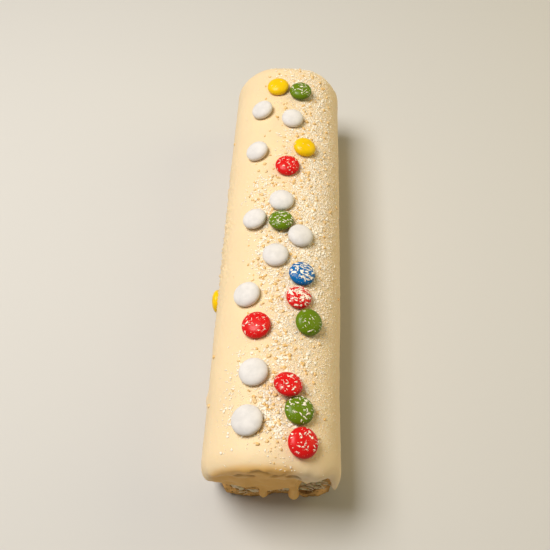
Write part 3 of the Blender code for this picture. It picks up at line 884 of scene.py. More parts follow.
def add_copy(bm, mesh, placing):
    """Adds a small mesh to a bmesh at a placing."""
    mesh.transform(placing)
    bm.from_mesh(mesh)
    mesh.transform(placing.inverted())


def crumb_shapes(draw, count, roughness):
    """Rough lumps of unit radius, each different."""
    shapes = []
    for number in range(count):
        bm = bmesh.new()
        bmesh.ops.create_icosphere(bm, subdivisions=1, radius=1)
        offset = Vector((number * 3.1, number * 1.7, 0))
        for vert in bm.verts:
            vert.co *= 1 + roughness * noise.noise(vert.co * 1.7 + offset) + draw.uniform(-0.16, 0.16)
            vert.co.z *= 0.7
        shapes.append(keep_mesh("crumb_shape", bm))
    return shapes


def shred_shape(draw):
    """A thin shard of unit length, a little bent and torn at its ends."""
    bm = bmesh.new()
    bmesh.ops.create_cube(bm, size=1)
    lengthwise = [edge for edge in bm.edges if abs(edge.verts[0].co.x - edge.verts[1].co.x) > 0.5]
    bmesh.ops.subdivide_edges(bm, edges=lengthwise, cuts=1)
    width = draw.uniform(0.18, 0.4)
    bend = draw.uniform(-0.35, 0.35)
    for vert in bm.verts:
        bow = 0.25 - vert.co.x**2
        taper = 1 - draw.uniform(0.3, 0.8) * abs(vert.co.x) * 2
        vert.co.y = vert.co.y * width * taper + 2 * bend * bow
        vert.co.z = 0.14 * vert.co.z + 0.25 * bow + draw.uniform(-0.03, 0.03)
    return bm


def chip_shape(draw):
    """A flat chip of about unit width with an uneven outline."""
    bm = bmesh.new()
    bmesh.ops.create_circle(bm, cap_ends=True, segments=7, radius=0.5)
    for vert in bm.verts:
        vert.co *= draw.uniform(0.55, 1.15)
        vert.co.z = draw.uniform(-0.05, 0.05)
    extrude_along(bm, Vector((0, 0, 0.16)))
    for vert in bm.verts:
        if vert.co.z > 0.1:
            vert.co.x *= 0.8
            vert.co.y *= 0.8
    return bm


def flake_shapes(draw, count):
    """Torn shreds and flat chips, half of each, every one different."""
    shapes = []
    for number in range(count):
        bm = chip_shape(draw) if number % 2 else shred_shape(draw)
        bmesh.ops.recalc_face_normals(bm, faces=bm.faces)
        shapes.append(keep_mesh("flake_shape", bm))
    return shapes


def grain_shapes(draw, count):
    """Angular grains with few faces."""
    shapes = []
    for number in range(count):
        bm = bmesh.new()
        bmesh.ops.create_uvsphere(bm, u_segments=4, v_segments=2, radius=1)
        for vert in bm.verts:
            vert.co *= draw.uniform(0.7, 1.2)
        shapes.append(keep_mesh("grain_shape", bm))
    return shapes


def clear_shapes(shapes):
    """Removes shapes once their copies are laid."""
    for mesh in shapes:
        bpy.data.meshes.remove(mesh)


# Finishes


def put_node(tree, kind, column, row, **settings):
    """A shader node at a place of the node editor's grid, with its settings."""
    node = tree.nodes.new(kind)
    node.location = (column * 200, -row * 220)
    for name, value in settings.items():
        setattr(node, name, value)
    return node


def math_node(tree, column, row, operation, first, second=0.5):
    """A Math node whose inputs are sockets or numbers; gives its output socket."""
    node = put_node(tree, "ShaderNodeMath", column, row, operation=operation)
    for socket, value in zip(node.inputs, (first, second)):
        if isinstance(value, (int, float)):
            socket.default_value = value
        else:
            tree.links.new(value, socket)
    return node.outputs[0]


def range_node(tree, column, row, value, low, high, to_low=0.0, to_high=1.0):
    """A smooth Map Range node; gives its output socket."""
    node = put_node(tree, "ShaderNodeMapRange", column, row, interpolation_type="SMOOTHSTEP")
    tree.links.new(value, node.inputs["Value"])
    for name, number in (("From Min", low), ("From Max", high), ("To Min", to_low), ("To Max", to_high)):
        if isinstance(number, (int, float)):
            node.inputs[name].default_value = number
        else:
            tree.links.new(number, node.inputs[name])
    return node.outputs["Result"]


def mix_node(tree, column, row, share, first, second):
    """A colour mix; gives its output socket."""
    node = put_node(tree, "ShaderNodeMix", column, row, data_type="RGBA")
    sockets = (node.inputs[0], node.inputs[6], node.inputs[7])
    for socket, value in zip(sockets, (share, first, second)):
        if isinstance(value, bpy.types.NodeSocket):
            tree.links.new(value, socket)
        elif isinstance(value, (int, float)):
            socket.default_value = value
        else:
            socket.default_value = (*value, 1)
    return node.outputs[2]


def noise_node(tree, column, row, coordinates, scale, detail=2.0, roughness=0.5):
    """A Noise Texture on given coordinates; gives its value socket."""
    node = put_node(tree, "ShaderNodeTexNoise", column, row)
    tree.links.new(coordinates, node.inputs["Vector"])
    node.inputs["Detail"].default_value = detail
    node.inputs["Roughness"].default_value = roughness
    if isinstance(scale, (int, float)):
        node.inputs["Scale"].default_value = scale
    else:
        tree.links.new(scale, node.inputs["Scale"])
    return node.outputs["Fac"]


def object_place(tree, column, row):
    """The places of the piece's own surface; gives their socket."""
    return put_node(tree, "ShaderNodeTexCoord", column, row).outputs["Object"]


def mesh_value(tree, column, row, name):
    """A value that the mesh holds at its vertices; gives its socket."""
    node = put_node(tree, "ShaderNodeAttribute", column, row, attribute_name=name, attribute_type="GEOMETRY")
    return node.outputs["Fac"]


def new_group(name, inputs, outputs):
    """An empty node group with named inputs and outputs."""
    group = bpy.data.node_groups.new(name, "ShaderNodeTree")
    for socket_name, kind, value in inputs:
        socket = group.interface.new_socket(name=socket_name, in_out="INPUT", socket_type=kind)
        if value is not None:
            socket.default_value = value
    for socket_name, kind in outputs:
        group.interface.new_socket(name=socket_name, in_out="OUTPUT", socket_type=kind)
    return group, put_node(group, "NodeGroupInput", -2, 0), put_node(group, "NodeGroupOutput", 8, 0)


def mottle_group():
    """Soft patches of one colour in another, with a fine grain for bump."""
    name = "Mottle"
    if name in bpy.data.node_groups:
        return bpy.data.node_groups[name]
    colour = "NodeSocketColor"
    number = "NodeSocketFloat"
    group, into, out = new_group(
        name,
        (
            ("Colour", colour, None), ("Patches", colour, None),
            ("Scale", number, 60.0), ("Amount", number, 0.5),
        ),
        (("Colour", colour), ("Height", number)),
    )
    place = object_place(group, -2, 2)
    patches = noise_node(group, 0, 0, place, into.outputs["Scale"], 3, 0.6)
    share = range_node(group, 1, 0, patches, 0.35, 0.68)
    share = math_node(group, 2, 0, "MULTIPLY", share, into.outputs["Amount"])
    tone = mix_node(group, 3, 0, share, into.outputs["Colour"], into.outputs["Patches"])
    group.links.new(tone, out.inputs["Colour"])
    fine_scale = math_node(group, 0, 2, "MULTIPLY", into.outputs["Scale"], 7)
    fine = noise_node(group, 1, 2, place, fine_scale, 3, 0.6)
    height = math_node(group, 2, 2, "ADD", fine, math_node(group, 1, 3, "MULTIPLY", patches, 1.5))
    group.links.new(height, out.inputs["Height"])
    return group


def grains_group():
    """Fine grains of topping: a mask of them and a tone for each."""
    name = "Grains"
    if name in bpy.data.node_groups:
        return bpy.data.node_groups[name]
    number = "NodeSocketFloat"
    group, into, out = new_group(
        name, (("Scale", number, 900.0), ("Cover", number, 0.3)), (("Mask", number), ("Tone", number))
    )
    place = object_place(group, -2, 2)
    cells = put_node(group, "ShaderNodeTexVoronoi", 0, 0, feature="F1")
    group.links.new(place, cells.inputs["Vector"])
    group.links.new(into.outputs["Scale"], cells.inputs["Scale"])
    pick = put_node(group, "ShaderNodeSeparateColor", 1, 0)
    group.links.new(cells.outputs["Color"], pick.inputs[0])
    chosen = math_node(group, 2, 0, "LESS_THAN", pick.outputs[0], into.outputs["Cover"])
    near = range_node(group, 2, 1, cells.outputs["Distance"], 0.55, 0.3)
    mask = math_node(group, 3, 0, "MULTIPLY", chosen, near)
    group.links.new(mask, out.inputs["Mask"])
    group.links.new(pick.outputs[1], out.inputs["Tone"])
    return group


def start_material(name, roughness, **numbers):
    """A material with a Principled shader whose even values are set on its own sockets."""
    finish = bpy.data.materials.new(name)
    finish.use_nodes = True
    tree = finish.node_tree
    shader = tree.nodes["Principled BSDF"]
    shader.location = (1800, 0)
    tree.nodes["Material Output"].location = (2100, 0)
    shader.inputs["Roughness"].default_value = roughness
    for key, value in numbers.items():
        shader.inputs[key.replace("_", " ")].default_value = value
    return finish, tree, shader


def use_group(tree, group, column, row, **values):
    """Places a node group with its own values; gives the node."""
    node = put_node(tree, "ShaderNodeGroup", column, row, node_tree=group)
    for key, value in values.items():
        if isinstance(value, bpy.types.NodeSocket):
            tree.links.new(value, node.inputs[key])
        elif isinstance(value, (int, float)):
            node.inputs[key].default_value = value
        else:
            node.inputs[key].default_value = (*value, 1)
    return node


def add_bump(tree, shader, height, distance, strength):
    """Raises a shader's surface by a height."""
    bump = put_node(tree, "ShaderNodeBump", 8, 3)
    bump.inputs["Distance"].default_value = distance
    bump.inputs["Strength"].default_value = strength
    tree.links.new(height, bump.inputs["Height"])
    tree.links.new(bump.outputs["Normal"], shader.inputs["Normal"])


def shade(colour, amount):
    """A colour made darker (under 1) or lighter."""
    return tuple(min(1, channel * amount) for channel in colour)


def blend(first, second, share):
    """A colour between two."""
    return tuple(a + (b - a) * share for a, b in zip(first, second))


def icing_finish(colours, form):
    """Pale icing: a satin skin, dusted where the topping was strewn, golden in front where it ran down and as
    painted shade; painted shade darkens its folds.
    """
    colour = colours.icing
    finish, tree, shader = start_material(
        "Icing", 0.42, Subsurface_Weight=0.1, Subsurface_Scale=0.004, Specular_IOR_Level=0.22
    )
    shader.inputs["Subsurface Radius"].default_value = (1.0, 0.6, 0.3)
    mottle = use_group(
        tree, mottle_group(), 0, 0, Colour=colour, Patches=shade(colour, 0.94), Scale=45.0, Amount=0.5
    )
    place = object_place(tree, -4, 2)
    parts = put_node(tree, "ShaderNodeSeparateXYZ", -3, 2)
    tree.links.new(place, parts.inputs[0])
    x, y, z = parts.outputs
    angle = math_node(tree, -1, 2, "ARCTAN2", x, math_node(tree, -2, 2, "SUBTRACT", z, form.middle))
    wander = noise_node(tree, -2, 4, place, 55.0, 2)
    angle = math_node(tree, 0, 2, "ADD", angle, math_node(tree, -1, 4, "MULTIPLY", wander, 0.5))
    start = range_node(tree, 1, 2, angle, *SUGAR_RIGHT_OF)
    end = range_node(tree, 1, 3, angle, *SUGAR_LEFT_OF)
    lengthwise = range_node(tree, 1, 4, y, *SUGAR_BEHIND)
    band = math_node(tree, 2, 2, "MULTIPLY", start, end)
    band = math_node(tree, 3, 2, "MULTIPLY", band, lengthwise)
    cover = math_node(tree, 3, 1, "MULTIPLY", band, 0.75)
    fine = use_group(tree, grains_group(), 4, 1, Scale=1250.0, Cover=cover)
    grit = range_node(tree, 5, 5, fine.outputs["Tone"], 0.55, 0.8)
    grit = mix_node(tree, 5, 2, grit, colours.flake, blend(colours.nut, colour, 0.45))
    dusted = math_node(tree, 5, 1, "MULTIPLY", fine.outputs["Mask"], 0.7)
    tone = mix_node(tree, 6, 0, dusted, mottle.outputs["Colour"], grit)
    # The golden lip and curtain: thin icing that ran down, partly painted shade of the front face
    across = math_node(tree, 0, 8, "ABSOLUTE", math_node(tree, -1, 8, "ADD", x, 1 * MM))
    bowed = math_node(tree, 0, 7, "ADD", z, math_node(tree, -1, 7, "MULTIPLY", across, 0.3))
    lip = range_node(tree, 1, 6, y, *GOLDEN_LIP_AHEAD_OF)
    lip = math_node(tree, 2, 6, "MULTIPLY", lip, range_node(tree, 1, 5, x, *GOLDEN_LIP_LEFT_OF))
    curtain = range_node(tree, 1, 7, bowed, *GOLDEN_CURTAIN_BELOW)
    front = range_node(tree, 1, 9, y, *GOLDEN_CURTAIN_AHEAD_OF)
    curtain = math_node(tree, 2, 7, "MULTIPLY", curtain, front)
    golden = math_node(tree, 3, 6, "MAXIMUM", lip, curtain)
    golden = math_node(tree, 4, 6, "MULTIPLY", golden, range_node(tree, 1, 8, across, *GOLDEN_WITHIN))
    tone = mix_node(tree, 7, 0, golden, tone, colours.thin_icing_and_front_shade)
    # Painted shade in the folds of the front face, darker where the fold is deeper
    fold = math_node(tree, 7, 6, "MULTIPLY", mesh_value(tree, 6, 6, "fold"), 0.75)
    tone = mix_node(tree, 8, 0, fold, tone, shade(colours.thin_icing_and_front_shade, 0.4))
    tree.links.new(tone, shader.inputs["Base Color"])
    rough = range_node(tree, 4, 3, wander, 0.3, 0.7, 0.44, 0.56)
    grain_rough = math_node(tree, 5, 3, "MULTIPLY", fine.outputs["Mask"], 0.2)
    tree.links.new(math_node(tree, 6, 2, "ADD", rough, grain_rough), shader.inputs["Roughness"])
    soft = math_node(tree, 5, 4, "MULTIPLY", mottle.outputs["Height"], 0.35)
    height = math_node(tree, 6, 3, "ADD", soft, math_node(tree, 6, 4, "MULTIPLY", fine.outputs["Mask"], 0.9))
    add_bump(tree, shader, height, 0.25 * MM, 0.7)
    return finish


def crumb_finish(name, colour, patches, roughness, scale):
    """Crumbs of topping, each a slightly different shade."""
    finish, tree, shader = start_material(name, roughness, Specular_IOR_Level=0.3)
    mottle = use_group(tree, mottle_group(), 0, 0, Colour=colour, Patches=patches, Scale=scale, Amount=0.9)
    tree.links.new(mottle.outputs["Colour"], shader.inputs["Base Color"])
    add_bump(tree, shader, mottle.outputs["Height"], 0.12 * MM, 0.6)
    return finish


def sponge_finish(colours):
    """Golden sponge: an open crumb, browner along the sheet's baked skin."""
    colour = colours.sponge
    finish, tree, shader = start_material("Sponge", 0.9, Specular_IOR_Level=0.2)
    mottle = use_group(
        tree, mottle_group(), 0, 0, Colour=colour, Patches=shade(colour, 0.5), Scale=170.0, Amount=0.9
    )
    pores = use_group(tree, grains_group(), 0, 2, Scale=820.0, Cover=0.3).outputs["Mask"]
    skin = math_node(tree, 3, 2, "MULTIPLY", mesh_value(tree, 0, 4, "skin"), 0.7)
    dark = math_node(tree, 2, 2, "MULTIPLY", pores, 0.6)
    tone = mix_node(tree, 3, 0, dark, mottle.outputs["Colour"], shade(colour, 0.4))
    tree.links.new(mix_node(tree, 4, 0, skin, tone, BAKED_SKIN), shader.inputs["Base Color"])
    pits = math_node(tree, 3, 3, "MULTIPLY", pores, 1.6)
    add_bump(tree, shader, math_node(tree, 4, 3, "SUBTRACT", mottle.outputs["Height"], pits), 0.5 * MM, 0.9)
    return finish


def cream_finish(colours):
    """Whipped cream: off-white, matt and softly torn."""
    colour = colours.cream
    finish, tree, shader = start_material(
        "Cream", 0.6, Subsurface_Weight=0.2, Subsurface_Scale=0.003, Specular_IOR_Level=0.4
    )
    mottle = use_group(
        tree, mottle_group(), 0, 0, Colour=colour, Patches=shade(colour, 0.8), Scale=220.0, Amount=0.6
    )
    tree.links.new(mottle.outputs["Colour"], shader.inputs["Base Color"])
    add_bump(tree, shader, mottle.outputs["Height"], 0.4 * MM, 0.8)
    return finish


def sweet_finish(name, colour, glossy, flake):
    """A sweet's sugar coat: glossy or chalky, with pale flecks where the mesh's own cover value asks."""
    finish, tree, shader = start_material(name, 0.3, Specular_IOR_Level=0.14)
    if glossy:
        shader.inputs["Coat Weight"].default_value = 0.12
        shader.inputs["Coat Roughness"].default_value = 0.2
    darker, amount, roughness, unevenness = (0.72, 0.35, 0.34, 0.12) if glossy else (0.82, 0.55, 0.58, 0.5)
    mottle = use_group(
        tree, mottle_group(), 0, 0, Colour=colour, Patches=shade(colour, darker), Scale=230.0, Amount=amount
    )
    cover = mesh_value(tree, -2, 2, "cover")
    place = object_place(tree, -3, 3)
    stretch = put_node(tree, "ShaderNodeMapping", -2, 3)
    stretch.inputs["Rotation"].default_value = (0.3, 0.2, 0.7)
    stretch.inputs["Scale"].default_value = (1.0, 1.8, 1.3)
    tree.links.new(place, stretch.inputs["Vector"])
    torn = noise_node(tree, -1, 3, stretch.outputs["Vector"], 420.0, 4, 0.65)
    low = math_node(tree, 0, 3, "SUBTRACT", 0.74, math_node(tree, -1, 2, "MULTIPLY", cover, 0.46))
    high = math_node(tree, 1, 3, "ADD", low, 0.025)
    flecks = range_node(tree, 2, 3, torn, low, high)
    flecks = math_node(tree, 3, 3, "MULTIPLY", flecks, math_node(tree, 2, 2, "GREATER_THAN", cover, 0.02))
    tone = mix_node(tree, 4, 0, flecks, mottle.outputs["Colour"], flake)
    tree.links.new(tone, shader.inputs["Base Color"])
    tree.links.new(range_node(tree, 4, 2, flecks, 0, 1, roughness, 0.6), shader.inputs["Roughness"])
    uneven = math_node(tree, 4, 4, "MULTIPLY", mottle.outputs["Height"], unevenness)
    add_bump(tree, shader, math_node(tree, 5, 3, "ADD", uneven, flecks), 0.12 * MM, 0.7)
    return finish


# Operators


class RollOperator:
    """What every step of the roll shares."""

    bl_options = {"REGISTER", "UNDO"}

    def settings(self, context):
        """The colours, and the form that follows from the sizes."""
        return context.scene.roll_colours, RollForm(context.scene.roll_sizes)


class ROLL_OT_sponge(RollOperator, bpy.types.Operator):
    """Make the rolled sheet of sponge, with a rough crumb on its ends"""

    bl_idname = "roll.sponge"
    bl_label = "Sponge"

    def execute(self, context):
        colours, form = self.settings(context)
        sponge = work_object("sponge_blank", section_solid(form, -form.icing, 0, form.half_length))
        channel = spiral_solid(form, form.cream + 2 * GAP, GAP, form.half_length + FAR)
        take_out(sponge, [work_object("cream_channel", channel)])
        bm = mesh_again(sponge)
        roughen_ends(bm, form, form.half_length, SPONGE_STEP, self.crumb_relief)
        skin = bm.verts.layers.float.new("skin")
        for vert in bm.verts:
            vert[skin] = self.skin_share(form, vert.co)
        finish_piece("rolled_sponge", bm, "sponge", sponge_finish(colours), "sponge")
        return {"FINISHED"}

    def crumb_relief(self, form, x, z, outward):
        """How far the crumb of a cut end stands out."""
        place = Vector((x, outward * 0.05, z))
        relief = lumps(place, SPONGE_ROUGHNESS)
        if outward < 0:
            coarse = noise.noise(place / SPONGE_ROUGHNESS[0][1])
            relief += form.front_stand(x, z) * (1 + 0.35 * coarse)
        return relief

    def skin_share(self, form, co):
        """How much a place belongs to the sheet's baked skin."""
        offset = Vector((co.x, 0, co.z - form.middle))
        angle = math.atan2(offset.x, offset.z)
        depth = form.polar_radius(angle, -form.icing) - offset.length
        share = swell(depth, SKIN_DEPTH)
        turn = ((angle - CREAM_START) / (2 * math.pi)) % 1
        while turn < CREAM_TURNS:
            side = abs(offset.length - form.filling_radius(turn)) - form.cream / 2
            share = max(share, swell(max(0, side), SKIN_DEPTH))
            turn += 1
        return share


class ROLL_OT_cream(RollOperator, bpy.types.Operator):
    """Make the spiral of cream that runs through the roll"""

    bl_idname = "roll.cream"
    bl_label = "Cream"

    def execute(self, context):
        colours, form = self.settings(context)
        half = form.half_length - CREAM_RECESS
        bm = spiral_solid(form, form.cream, 0, half)
        roughen_ends(bm, form, half, CREAM_STEP, self.torn_relief)
        finish_piece("cream_spiral", bm, "cream", cream_finish(colours), "cream")
        return {"FINISHED"}

    def torn_relief(self, form, x, z, outward):
        """How far the cream of a cut end stands out."""
        rough = lumps(Vector((x, outward * 0.08, z)), CREAM_ROUGHNESS)
        stand = form.front_stand(x, z) - CREAM_TORN * smooth(x, *TORN_START) if outward < 0 else 0
        return (0.4 + 0.9 * rough) * MM + stand


class ROLL_OT_cream_shreds(RollOperator, bpy.types.Operator):
    """Make the torn threads of cream that hang out of the front end"""

    bl_idname = "roll.cream_shreds"
    bl_label = "Cream shreds"

    def execute(self, context):
        form = self.settings(context)[1]
        draw = random.Random(9)
        thread_mesh = bpy.data.meshes.new("thread")
        bm = bmesh.new()
        for left, right, low, high, amount in SHRED_PLACES:
            for number in range(amount):
                x = draw.uniform(left, right) * MM
                z = draw.uniform(low, high) * MM
                depth = form.half_length + max(0, form.front_stand(x, z)) + draw.uniform(0.6, 3) * MM
                slant = Matrix.Rotation(draw.gauss(0.35, 0.35), 4, "Y")
                slant = slant @ Matrix.Rotation(draw.gauss(0, 0.2), 4, "Z")
                length = draw.uniform(3, 7) * MM
                width = draw.uniform(1.2, 2.4) * MM
                place = Matrix.Translation(form.skew_front(Vector((x, -depth, z))))
                lie = Matrix.Rotation(draw.uniform(0, math.tau), 4, "X")
                thread = shred_shape(draw)
                bmesh.ops.recalc_face_normals(thread, faces=thread.faces)
                thread.to_mesh(thread_mesh)
                thread.free()
                add_copy(bm, thread_mesh, place @ slant @ lie @ Matrix.Diagonal((length, width, width, 1)))
        bpy.data.meshes.remove(thread_mesh)
        finish_piece("cream_shreds", bm, "cream", bpy.data.materials["Cream"])
        return {"FINISHED"}


class ROLL_OT_icing(RollOperator, bpy.types.Operator):
    """Make the coat of icing with its folds, drips and wavy edges"""

    bl_idname = "roll.icing"
    bl_label = "Icing"

    def execute(self, context):
        colours, form = self.settings(context)
        coat = work_object("coat_blank", coat_blank(form))
        cutters = (
            ("coat_hollow", section_solid(form, GAP - form.icing, -FAR, form.half_length + GAP)),
            ("coat_hem", hem_cutter(form)),
            ("front_opening", opening_cutter(form, FRONT_OPENING, -1)),
            ("back_opening", opening_cutter(form, BACK_OPENING, 1)),
        )
        take_out(coat, [work_object(name, bm) for name, bm in cutters])
        bm = mesh_again(coat)
        for drips, outward in ((FRONT_DRIPS, -1), (BACK_DRIPS, 1)):
            for drip in drips:
                add_drip(bm, form, drip, outward)
        coat = work_object("coat", bm)
        even = coat.modifiers.new("even_faces", "REMESH")
        even.mode = "VOXEL"
        even.voxel_size = context.scene.roll_sizes.icing_grain * 1
        soft = coat.modifiers.new("soft_edges", "SMOOTH")
        soft.factor = 0.5
        soft.iterations = 4
        apply_modifiers(coat)
        hidden = mark_inside(coat, form)
        thin = coat.modifiers.new("thin_inside", "DECIMATE")
        thin.vertex_group = "inside"
        thin.ratio = 1 - INSIDE_THINNING * hidden
        apply_modifiers(coat)
        bm = mesh_again(coat)
        bm.normal_update()
        # Each vertex keeps its fold depth as the share of painted shade in the folds
        painted_fold_shade = bm.verts.layers.float.new("fold")
        moves = []
        for vert in bm.verts:
            depth = form.fold_depth(vert.co)
            vert[painted_fold_shade] = depth / (2 * MM)
            moves.append((vert, vert.normal * (surface_lumps(vert.co) - depth)))
        for vert, move in moves:
            vert.co += move
        finish_piece("icing_coat", bm, "icing", icing_finish(colours, form), "icing")
        return {"FINISHED"}


class ROLL_OT_sweets(RollOperator, bpy.types.Operator):
    """Make the sugar-coated sweets and press them into the icing"""

    bl_idname = "roll.sweets"
    bl_label = "Sweets"

    def execute(self, context):
        colours, form = self.settings(context)
        finishes = {}
        for colour in ("yellow", "green", "white", "red", "blue"):
            coat = getattr(colours, f"sweet_{colour}")
            finishes[colour] = sweet_finish(f"Sugar coat {colour}", coat, colour != "white", colours.flake)
        for number, sweet in enumerate(SWEETS, 1):
            self.make_sweet(form, number, sweet, finishes[sweet[0]])
        return {"FINISHED"}

    def make_sweet(self, form, number, sweet, finish):
        """One lens-shaped sweet."""
        colour, diameter, cover = sweet[0], sweet[3], sweet[6]
        radius = diameter * MM / 2
        uneven = (WHITE_UNEVENNESS if colour == "white" else GLOSSY_UNEVENNESS) * MM
        bm = bmesh.new()
        bmesh.ops.create_uvsphere(bm, u_segments=48, v_segments=24, radius=1)
        covered = bm.verts.layers.float.new("cover")
        placing = form.sweet_frame(sweet)
        offset = Vector((number * 2.3, 0, 0))
        for vert in bm.verts:
            latitude = math.asin(within(vert.co.z, -1))
            longitude = math.atan2(vert.co.y, vert.co.x)
            reach = radius * math.cos(latitude) ** SWEET_FULLNESS if abs(vert.co.z) < 0.9999 else 0
            height = form.sweet_half * vert.co.z
            spot = Vector((reach * math.cos(longitude), reach * math.sin(longitude), height))
            spot += vert.co * uneven * noise.noise(spot / SWEET_BUMPS + offset)
            upward = within((vert.co.z + 0.1) / 0.5) * (0.78 + 0.06 * math.sin(longitude + 0.6))
            vert[covered] = cover * upward
            vert.co = placing @ spot
        name = f"coated_sweet_{number:02d}_{colour}"
        finish_piece(name, bm, f"sweet_{colour}", finish, f"sweet_{number:02d}_{colour}")


class ROLL_OT_nut_crumbs(RollOperator, bpy.types.Operator):
    """Strew the toasted nut crumbs"""

    bl_idname = "roll.nut_crumbs"
    bl_label = "Nut crumbs"

    def execute(self, context):
        colours, form = self.settings(context)
        draw = random.Random(21)
        shapes = crumb_shapes(draw, 12, 0.7)
        small = crumb_shapes(draw, 8, 0.5)
        trees = [surface_tree(bpy.data.objects["icing_coat"])]
        bm = bmesh.new()
        for station, angle, radius in crumb_places(form):
            found = lay_on(trees, form, station, angle)
            scale = [radius * draw.uniform(0.55, 1.0) for axis in range(3)]
            spin, lean = draw.uniform(0, math.tau), draw.uniform(-0.3, 0.3)
            add_copy(bm, draw.choice(shapes), resting(found, 0.15 * radius, spin, lean, scale))
        for number in range(context.scene.roll_sizes.small_nuts):
            found = lay_on(trees, form, *drift_place(draw, NUT_DRIFTS))
            if found is None:
                continue
            radius = draw.choice(NUT_SIZES) * MM
            scale = [radius * draw.uniform(0.7, 1.3) for axis in range(3)]
            spin, lean = draw.uniform(0, math.tau), draw.uniform(-0.5, 0.5)
            add_copy(bm, draw.choice(small), resting(found, 0.2 * radius, spin, lean, scale))
        clear_shapes(shapes + small)
        finish = crumb_finish("Toasted nut", colours.nut, blend(colours.nut, PALE_NUT, 0.7), 0.55, 420.0)
        finish_piece("nut_crumbs", bm, "icing", finish)
        return {"FINISHED"}


class ROLL_OT_flakes(RollOperator, bpy.types.Operator):
    """Strew the white flakes over the icing and the sweets"""

    bl_idname = "roll.flakes"
    bl_label = "White flakes"

    def execute(self, context):
        colours, form = self.settings(context)
        draw = random.Random(5)
        shapes = flake_shapes(draw, 14)
        sweets = [piece for piece in bpy.data.objects if piece.name.startswith("coated_sweet_")]
        trees = [surface_tree(bpy.data.objects["icing_coat"]), surface_tree(*sweets)]
        bm = bmesh.new()
        for number in range(context.scene.roll_sizes.flakes):
            found = lay_on(trees, form, *drift_place(draw, FLAKE_DRIFTS))
            if found is None or found[2] == 1 or noise.noise(found[0] / (4 * MM)) < draw.uniform(-0.6, 0.3):
                continue
            length = draw.triangular(*FLAKE_LENGTHS) * MM
            self.lay_flake(bm, draw, shapes, found, length, draw.gauss(0, 0.2))
        for colour, station, angle, diameter, near_lift, right_lift, cover in SWEETS:
            for number in range(int(cover * FLAKES_ON_SWEET)):
                along = draw.gauss(0, 0.26) * diameter
                around = math.degrees(draw.gauss(0, 0.26) * diameter * MM / form.half_width)
                found = lay_on(trees, form, station + along, angle + around)
                if found and found[2] == 1:
                    length = draw.uniform(0.7, 2.2) * MM
                    self.lay_flake(bm, draw, shapes[::2], found, length, draw.gauss(0, 0.1))
        clear_shapes(shapes)
        finish = crumb_finish("White flake", colours.flake, shade(colours.flake, 0.9), 0.5, 500.0)
        finish_piece("white_flakes", bm, "icing", finish)
        return {"FINISHED"}

    def lay_flake(self, bm, draw, shapes, found, length, lean):
        """Lays one flake where a surface was found."""
        scale = (length, length * draw.uniform(0.5, 1.1), length * draw.uniform(0.6, 1.2))
        placing = resting(found, 0.04 * length, draw.uniform(0, math.tau), lean, scale)
        add_copy(bm, draw.choice(shapes), placing)


class ROLL_OT_dust(RollOperator, bpy.types.Operator):
    """Strew the fine grains of sugar"""

    bl_idname = "roll.dust"
    bl_label = "Sugar grains"

    def execute(self, context):
        colours, form = self.settings(context)
        draw = random.Random(3)
        shapes = grain_shapes(draw, 8)
        trees = [surface_tree(bpy.data.objects["icing_coat"])]
        bm = bmesh.new()
        for number in range(context.scene.roll_sizes.dust):
            found = lay_on(trees, form, *drift_place(draw, DUST_DRIFTS))
            if found is None:
                continue
            radius = draw.triangular(*GRAIN_SIZES) * MM
            scale = [radius * draw.uniform(0.7, 1.3) for axis in range(3)]
            shape = draw.choice(shapes)
            add_copy(bm, shape, resting(found, 0.3 * radius, draw.uniform(0, math.tau), 0, scale))
        clear_shapes(shapes)
        pale = blend(colours.flake, colours.icing, 0.35)
        finish_piece("sugar_grains", bm, "icing", crumb_finish("Sugar grain", pale, colours.flake, 0.5, 300))
        return {"FINISHED"}


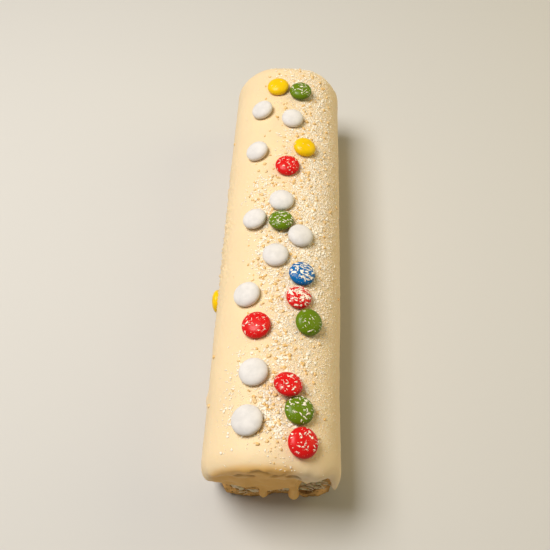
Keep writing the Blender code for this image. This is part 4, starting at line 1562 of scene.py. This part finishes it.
class ROLL_OT_stage(RollOperator, bpy.types.Operator):
    """Set out the floor, the lights and the camera"""

    bl_idname = "roll.stage"
    bl_label = "Floor, lights and camera"

    def execute(self, context):
        scene = context.scene
        bm = bmesh.new()
        bmesh.ops.create_grid(bm, x_segments=1, y_segments=1, size=FLOOR_SIZE)
        finish, _, shader = start_material("Floor", 0.85, Specular_IOR_Level=0.2)
        shader.inputs["Base Color"].default_value = (*scene.roll_colours.floor, 1)
        floor = work_object("floor", bm)
        floor.data.materials.append(finish)
        self.add_light(scene, "key", *KEY_LIGHT)
        self.add_light(scene, "fill", *FILL_LIGHT)
        world = bpy.data.worlds.new("studio")
        world.use_nodes = True
        background = world.node_tree.nodes["Background"]
        background.inputs["Color"].default_value = (*STUDIO_COLOUR, 1)
        background.inputs["Strength"].default_value = STUDIO_STRENGTH
        scene.world = world
        self.add_camera(scene)
        scene.view_settings.view_transform = "Standard"
        scene.view_settings.look = "None"
        return {"FINISHED"}

    def add_light(self, scene, name, place, size, power, colour):
        """A soft square light that shines at the roll."""
        light = bpy.data.lights.new(name, "AREA")
        light.size = size
        light.energy = power
        light.color = colour
        lamp = bpy.data.objects.new(name, light)
        lamp.location = place
        lamp.rotation_euler = (LIGHT_AIM - lamp.location).to_track_quat("-Z", "Y").to_euler()
        scene.collection.objects.link(lamp)

    def add_camera(self, scene):
        """The camera, looking down along the roll from its front end."""
        camera = bpy.data.cameras.new("camera")
        camera.lens = CAMERA_LENS
        camera.sensor_width = CAMERA_SENSOR
        camera.clip_start = 0.01
        holder = bpy.data.objects.new("camera", camera)
        holder.location = CAMERA_PLACE
        ahead = math.cos(CAMERA_DOWN)
        aim = Vector((-math.sin(CAMERA_TURN) * ahead, math.cos(CAMERA_TURN) * ahead, -math.sin(CAMERA_DOWN)))
        holder.rotation_euler = aim.to_track_quat("-Z", "Y").to_euler()
        scene.collection.objects.link(holder)
        scene.camera = holder


STEPS = (
    ROLL_OT_sponge,
    ROLL_OT_cream,
    ROLL_OT_cream_shreds,
    ROLL_OT_icing,
    ROLL_OT_sweets,
    ROLL_OT_nut_crumbs,
    ROLL_OT_flakes,
    ROLL_OT_dust,
    ROLL_OT_stage,
)


class ROLL_PT_panel(bpy.types.Panel):
    """The roll's steps, sizes and colours in the sidebar"""

    bl_label = "Swiss roll"
    bl_space_type = "VIEW_3D"
    bl_region_type = "UI"
    bl_category = "Swiss roll"

    def draw(self, context):
        for step in STEPS:
            self.layout.operator(step.bl_idname)
        for group in (context.scene.roll_sizes, context.scene.roll_colours):
            box = self.layout.box()
            for name in group.bl_rna.properties.keys():
                if name not in ("rna_type", "name"):
                    box.prop(group, name)


CLASSES = (RollSizes, RollColours, *STEPS, ROLL_PT_panel)


def register():
    for cls in CLASSES:
        bpy.utils.register_class(cls)
    bpy.types.Scene.roll_sizes = PointerProperty(type=RollSizes)
    bpy.types.Scene.roll_colours = PointerProperty(type=RollColours)


def unregister():
    del bpy.types.Scene.roll_colours
    del bpy.types.Scene.roll_sizes
    for cls in reversed(CLASSES):
        bpy.utils.unregister_class(cls)


def main():
    """Registers the add-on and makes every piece."""
    register()
    for step in STEPS:
        group, name = step.bl_idname.split(".")
        getattr(getattr(bpy.ops, group), name)()


if __name__ == "__main__":
    main()
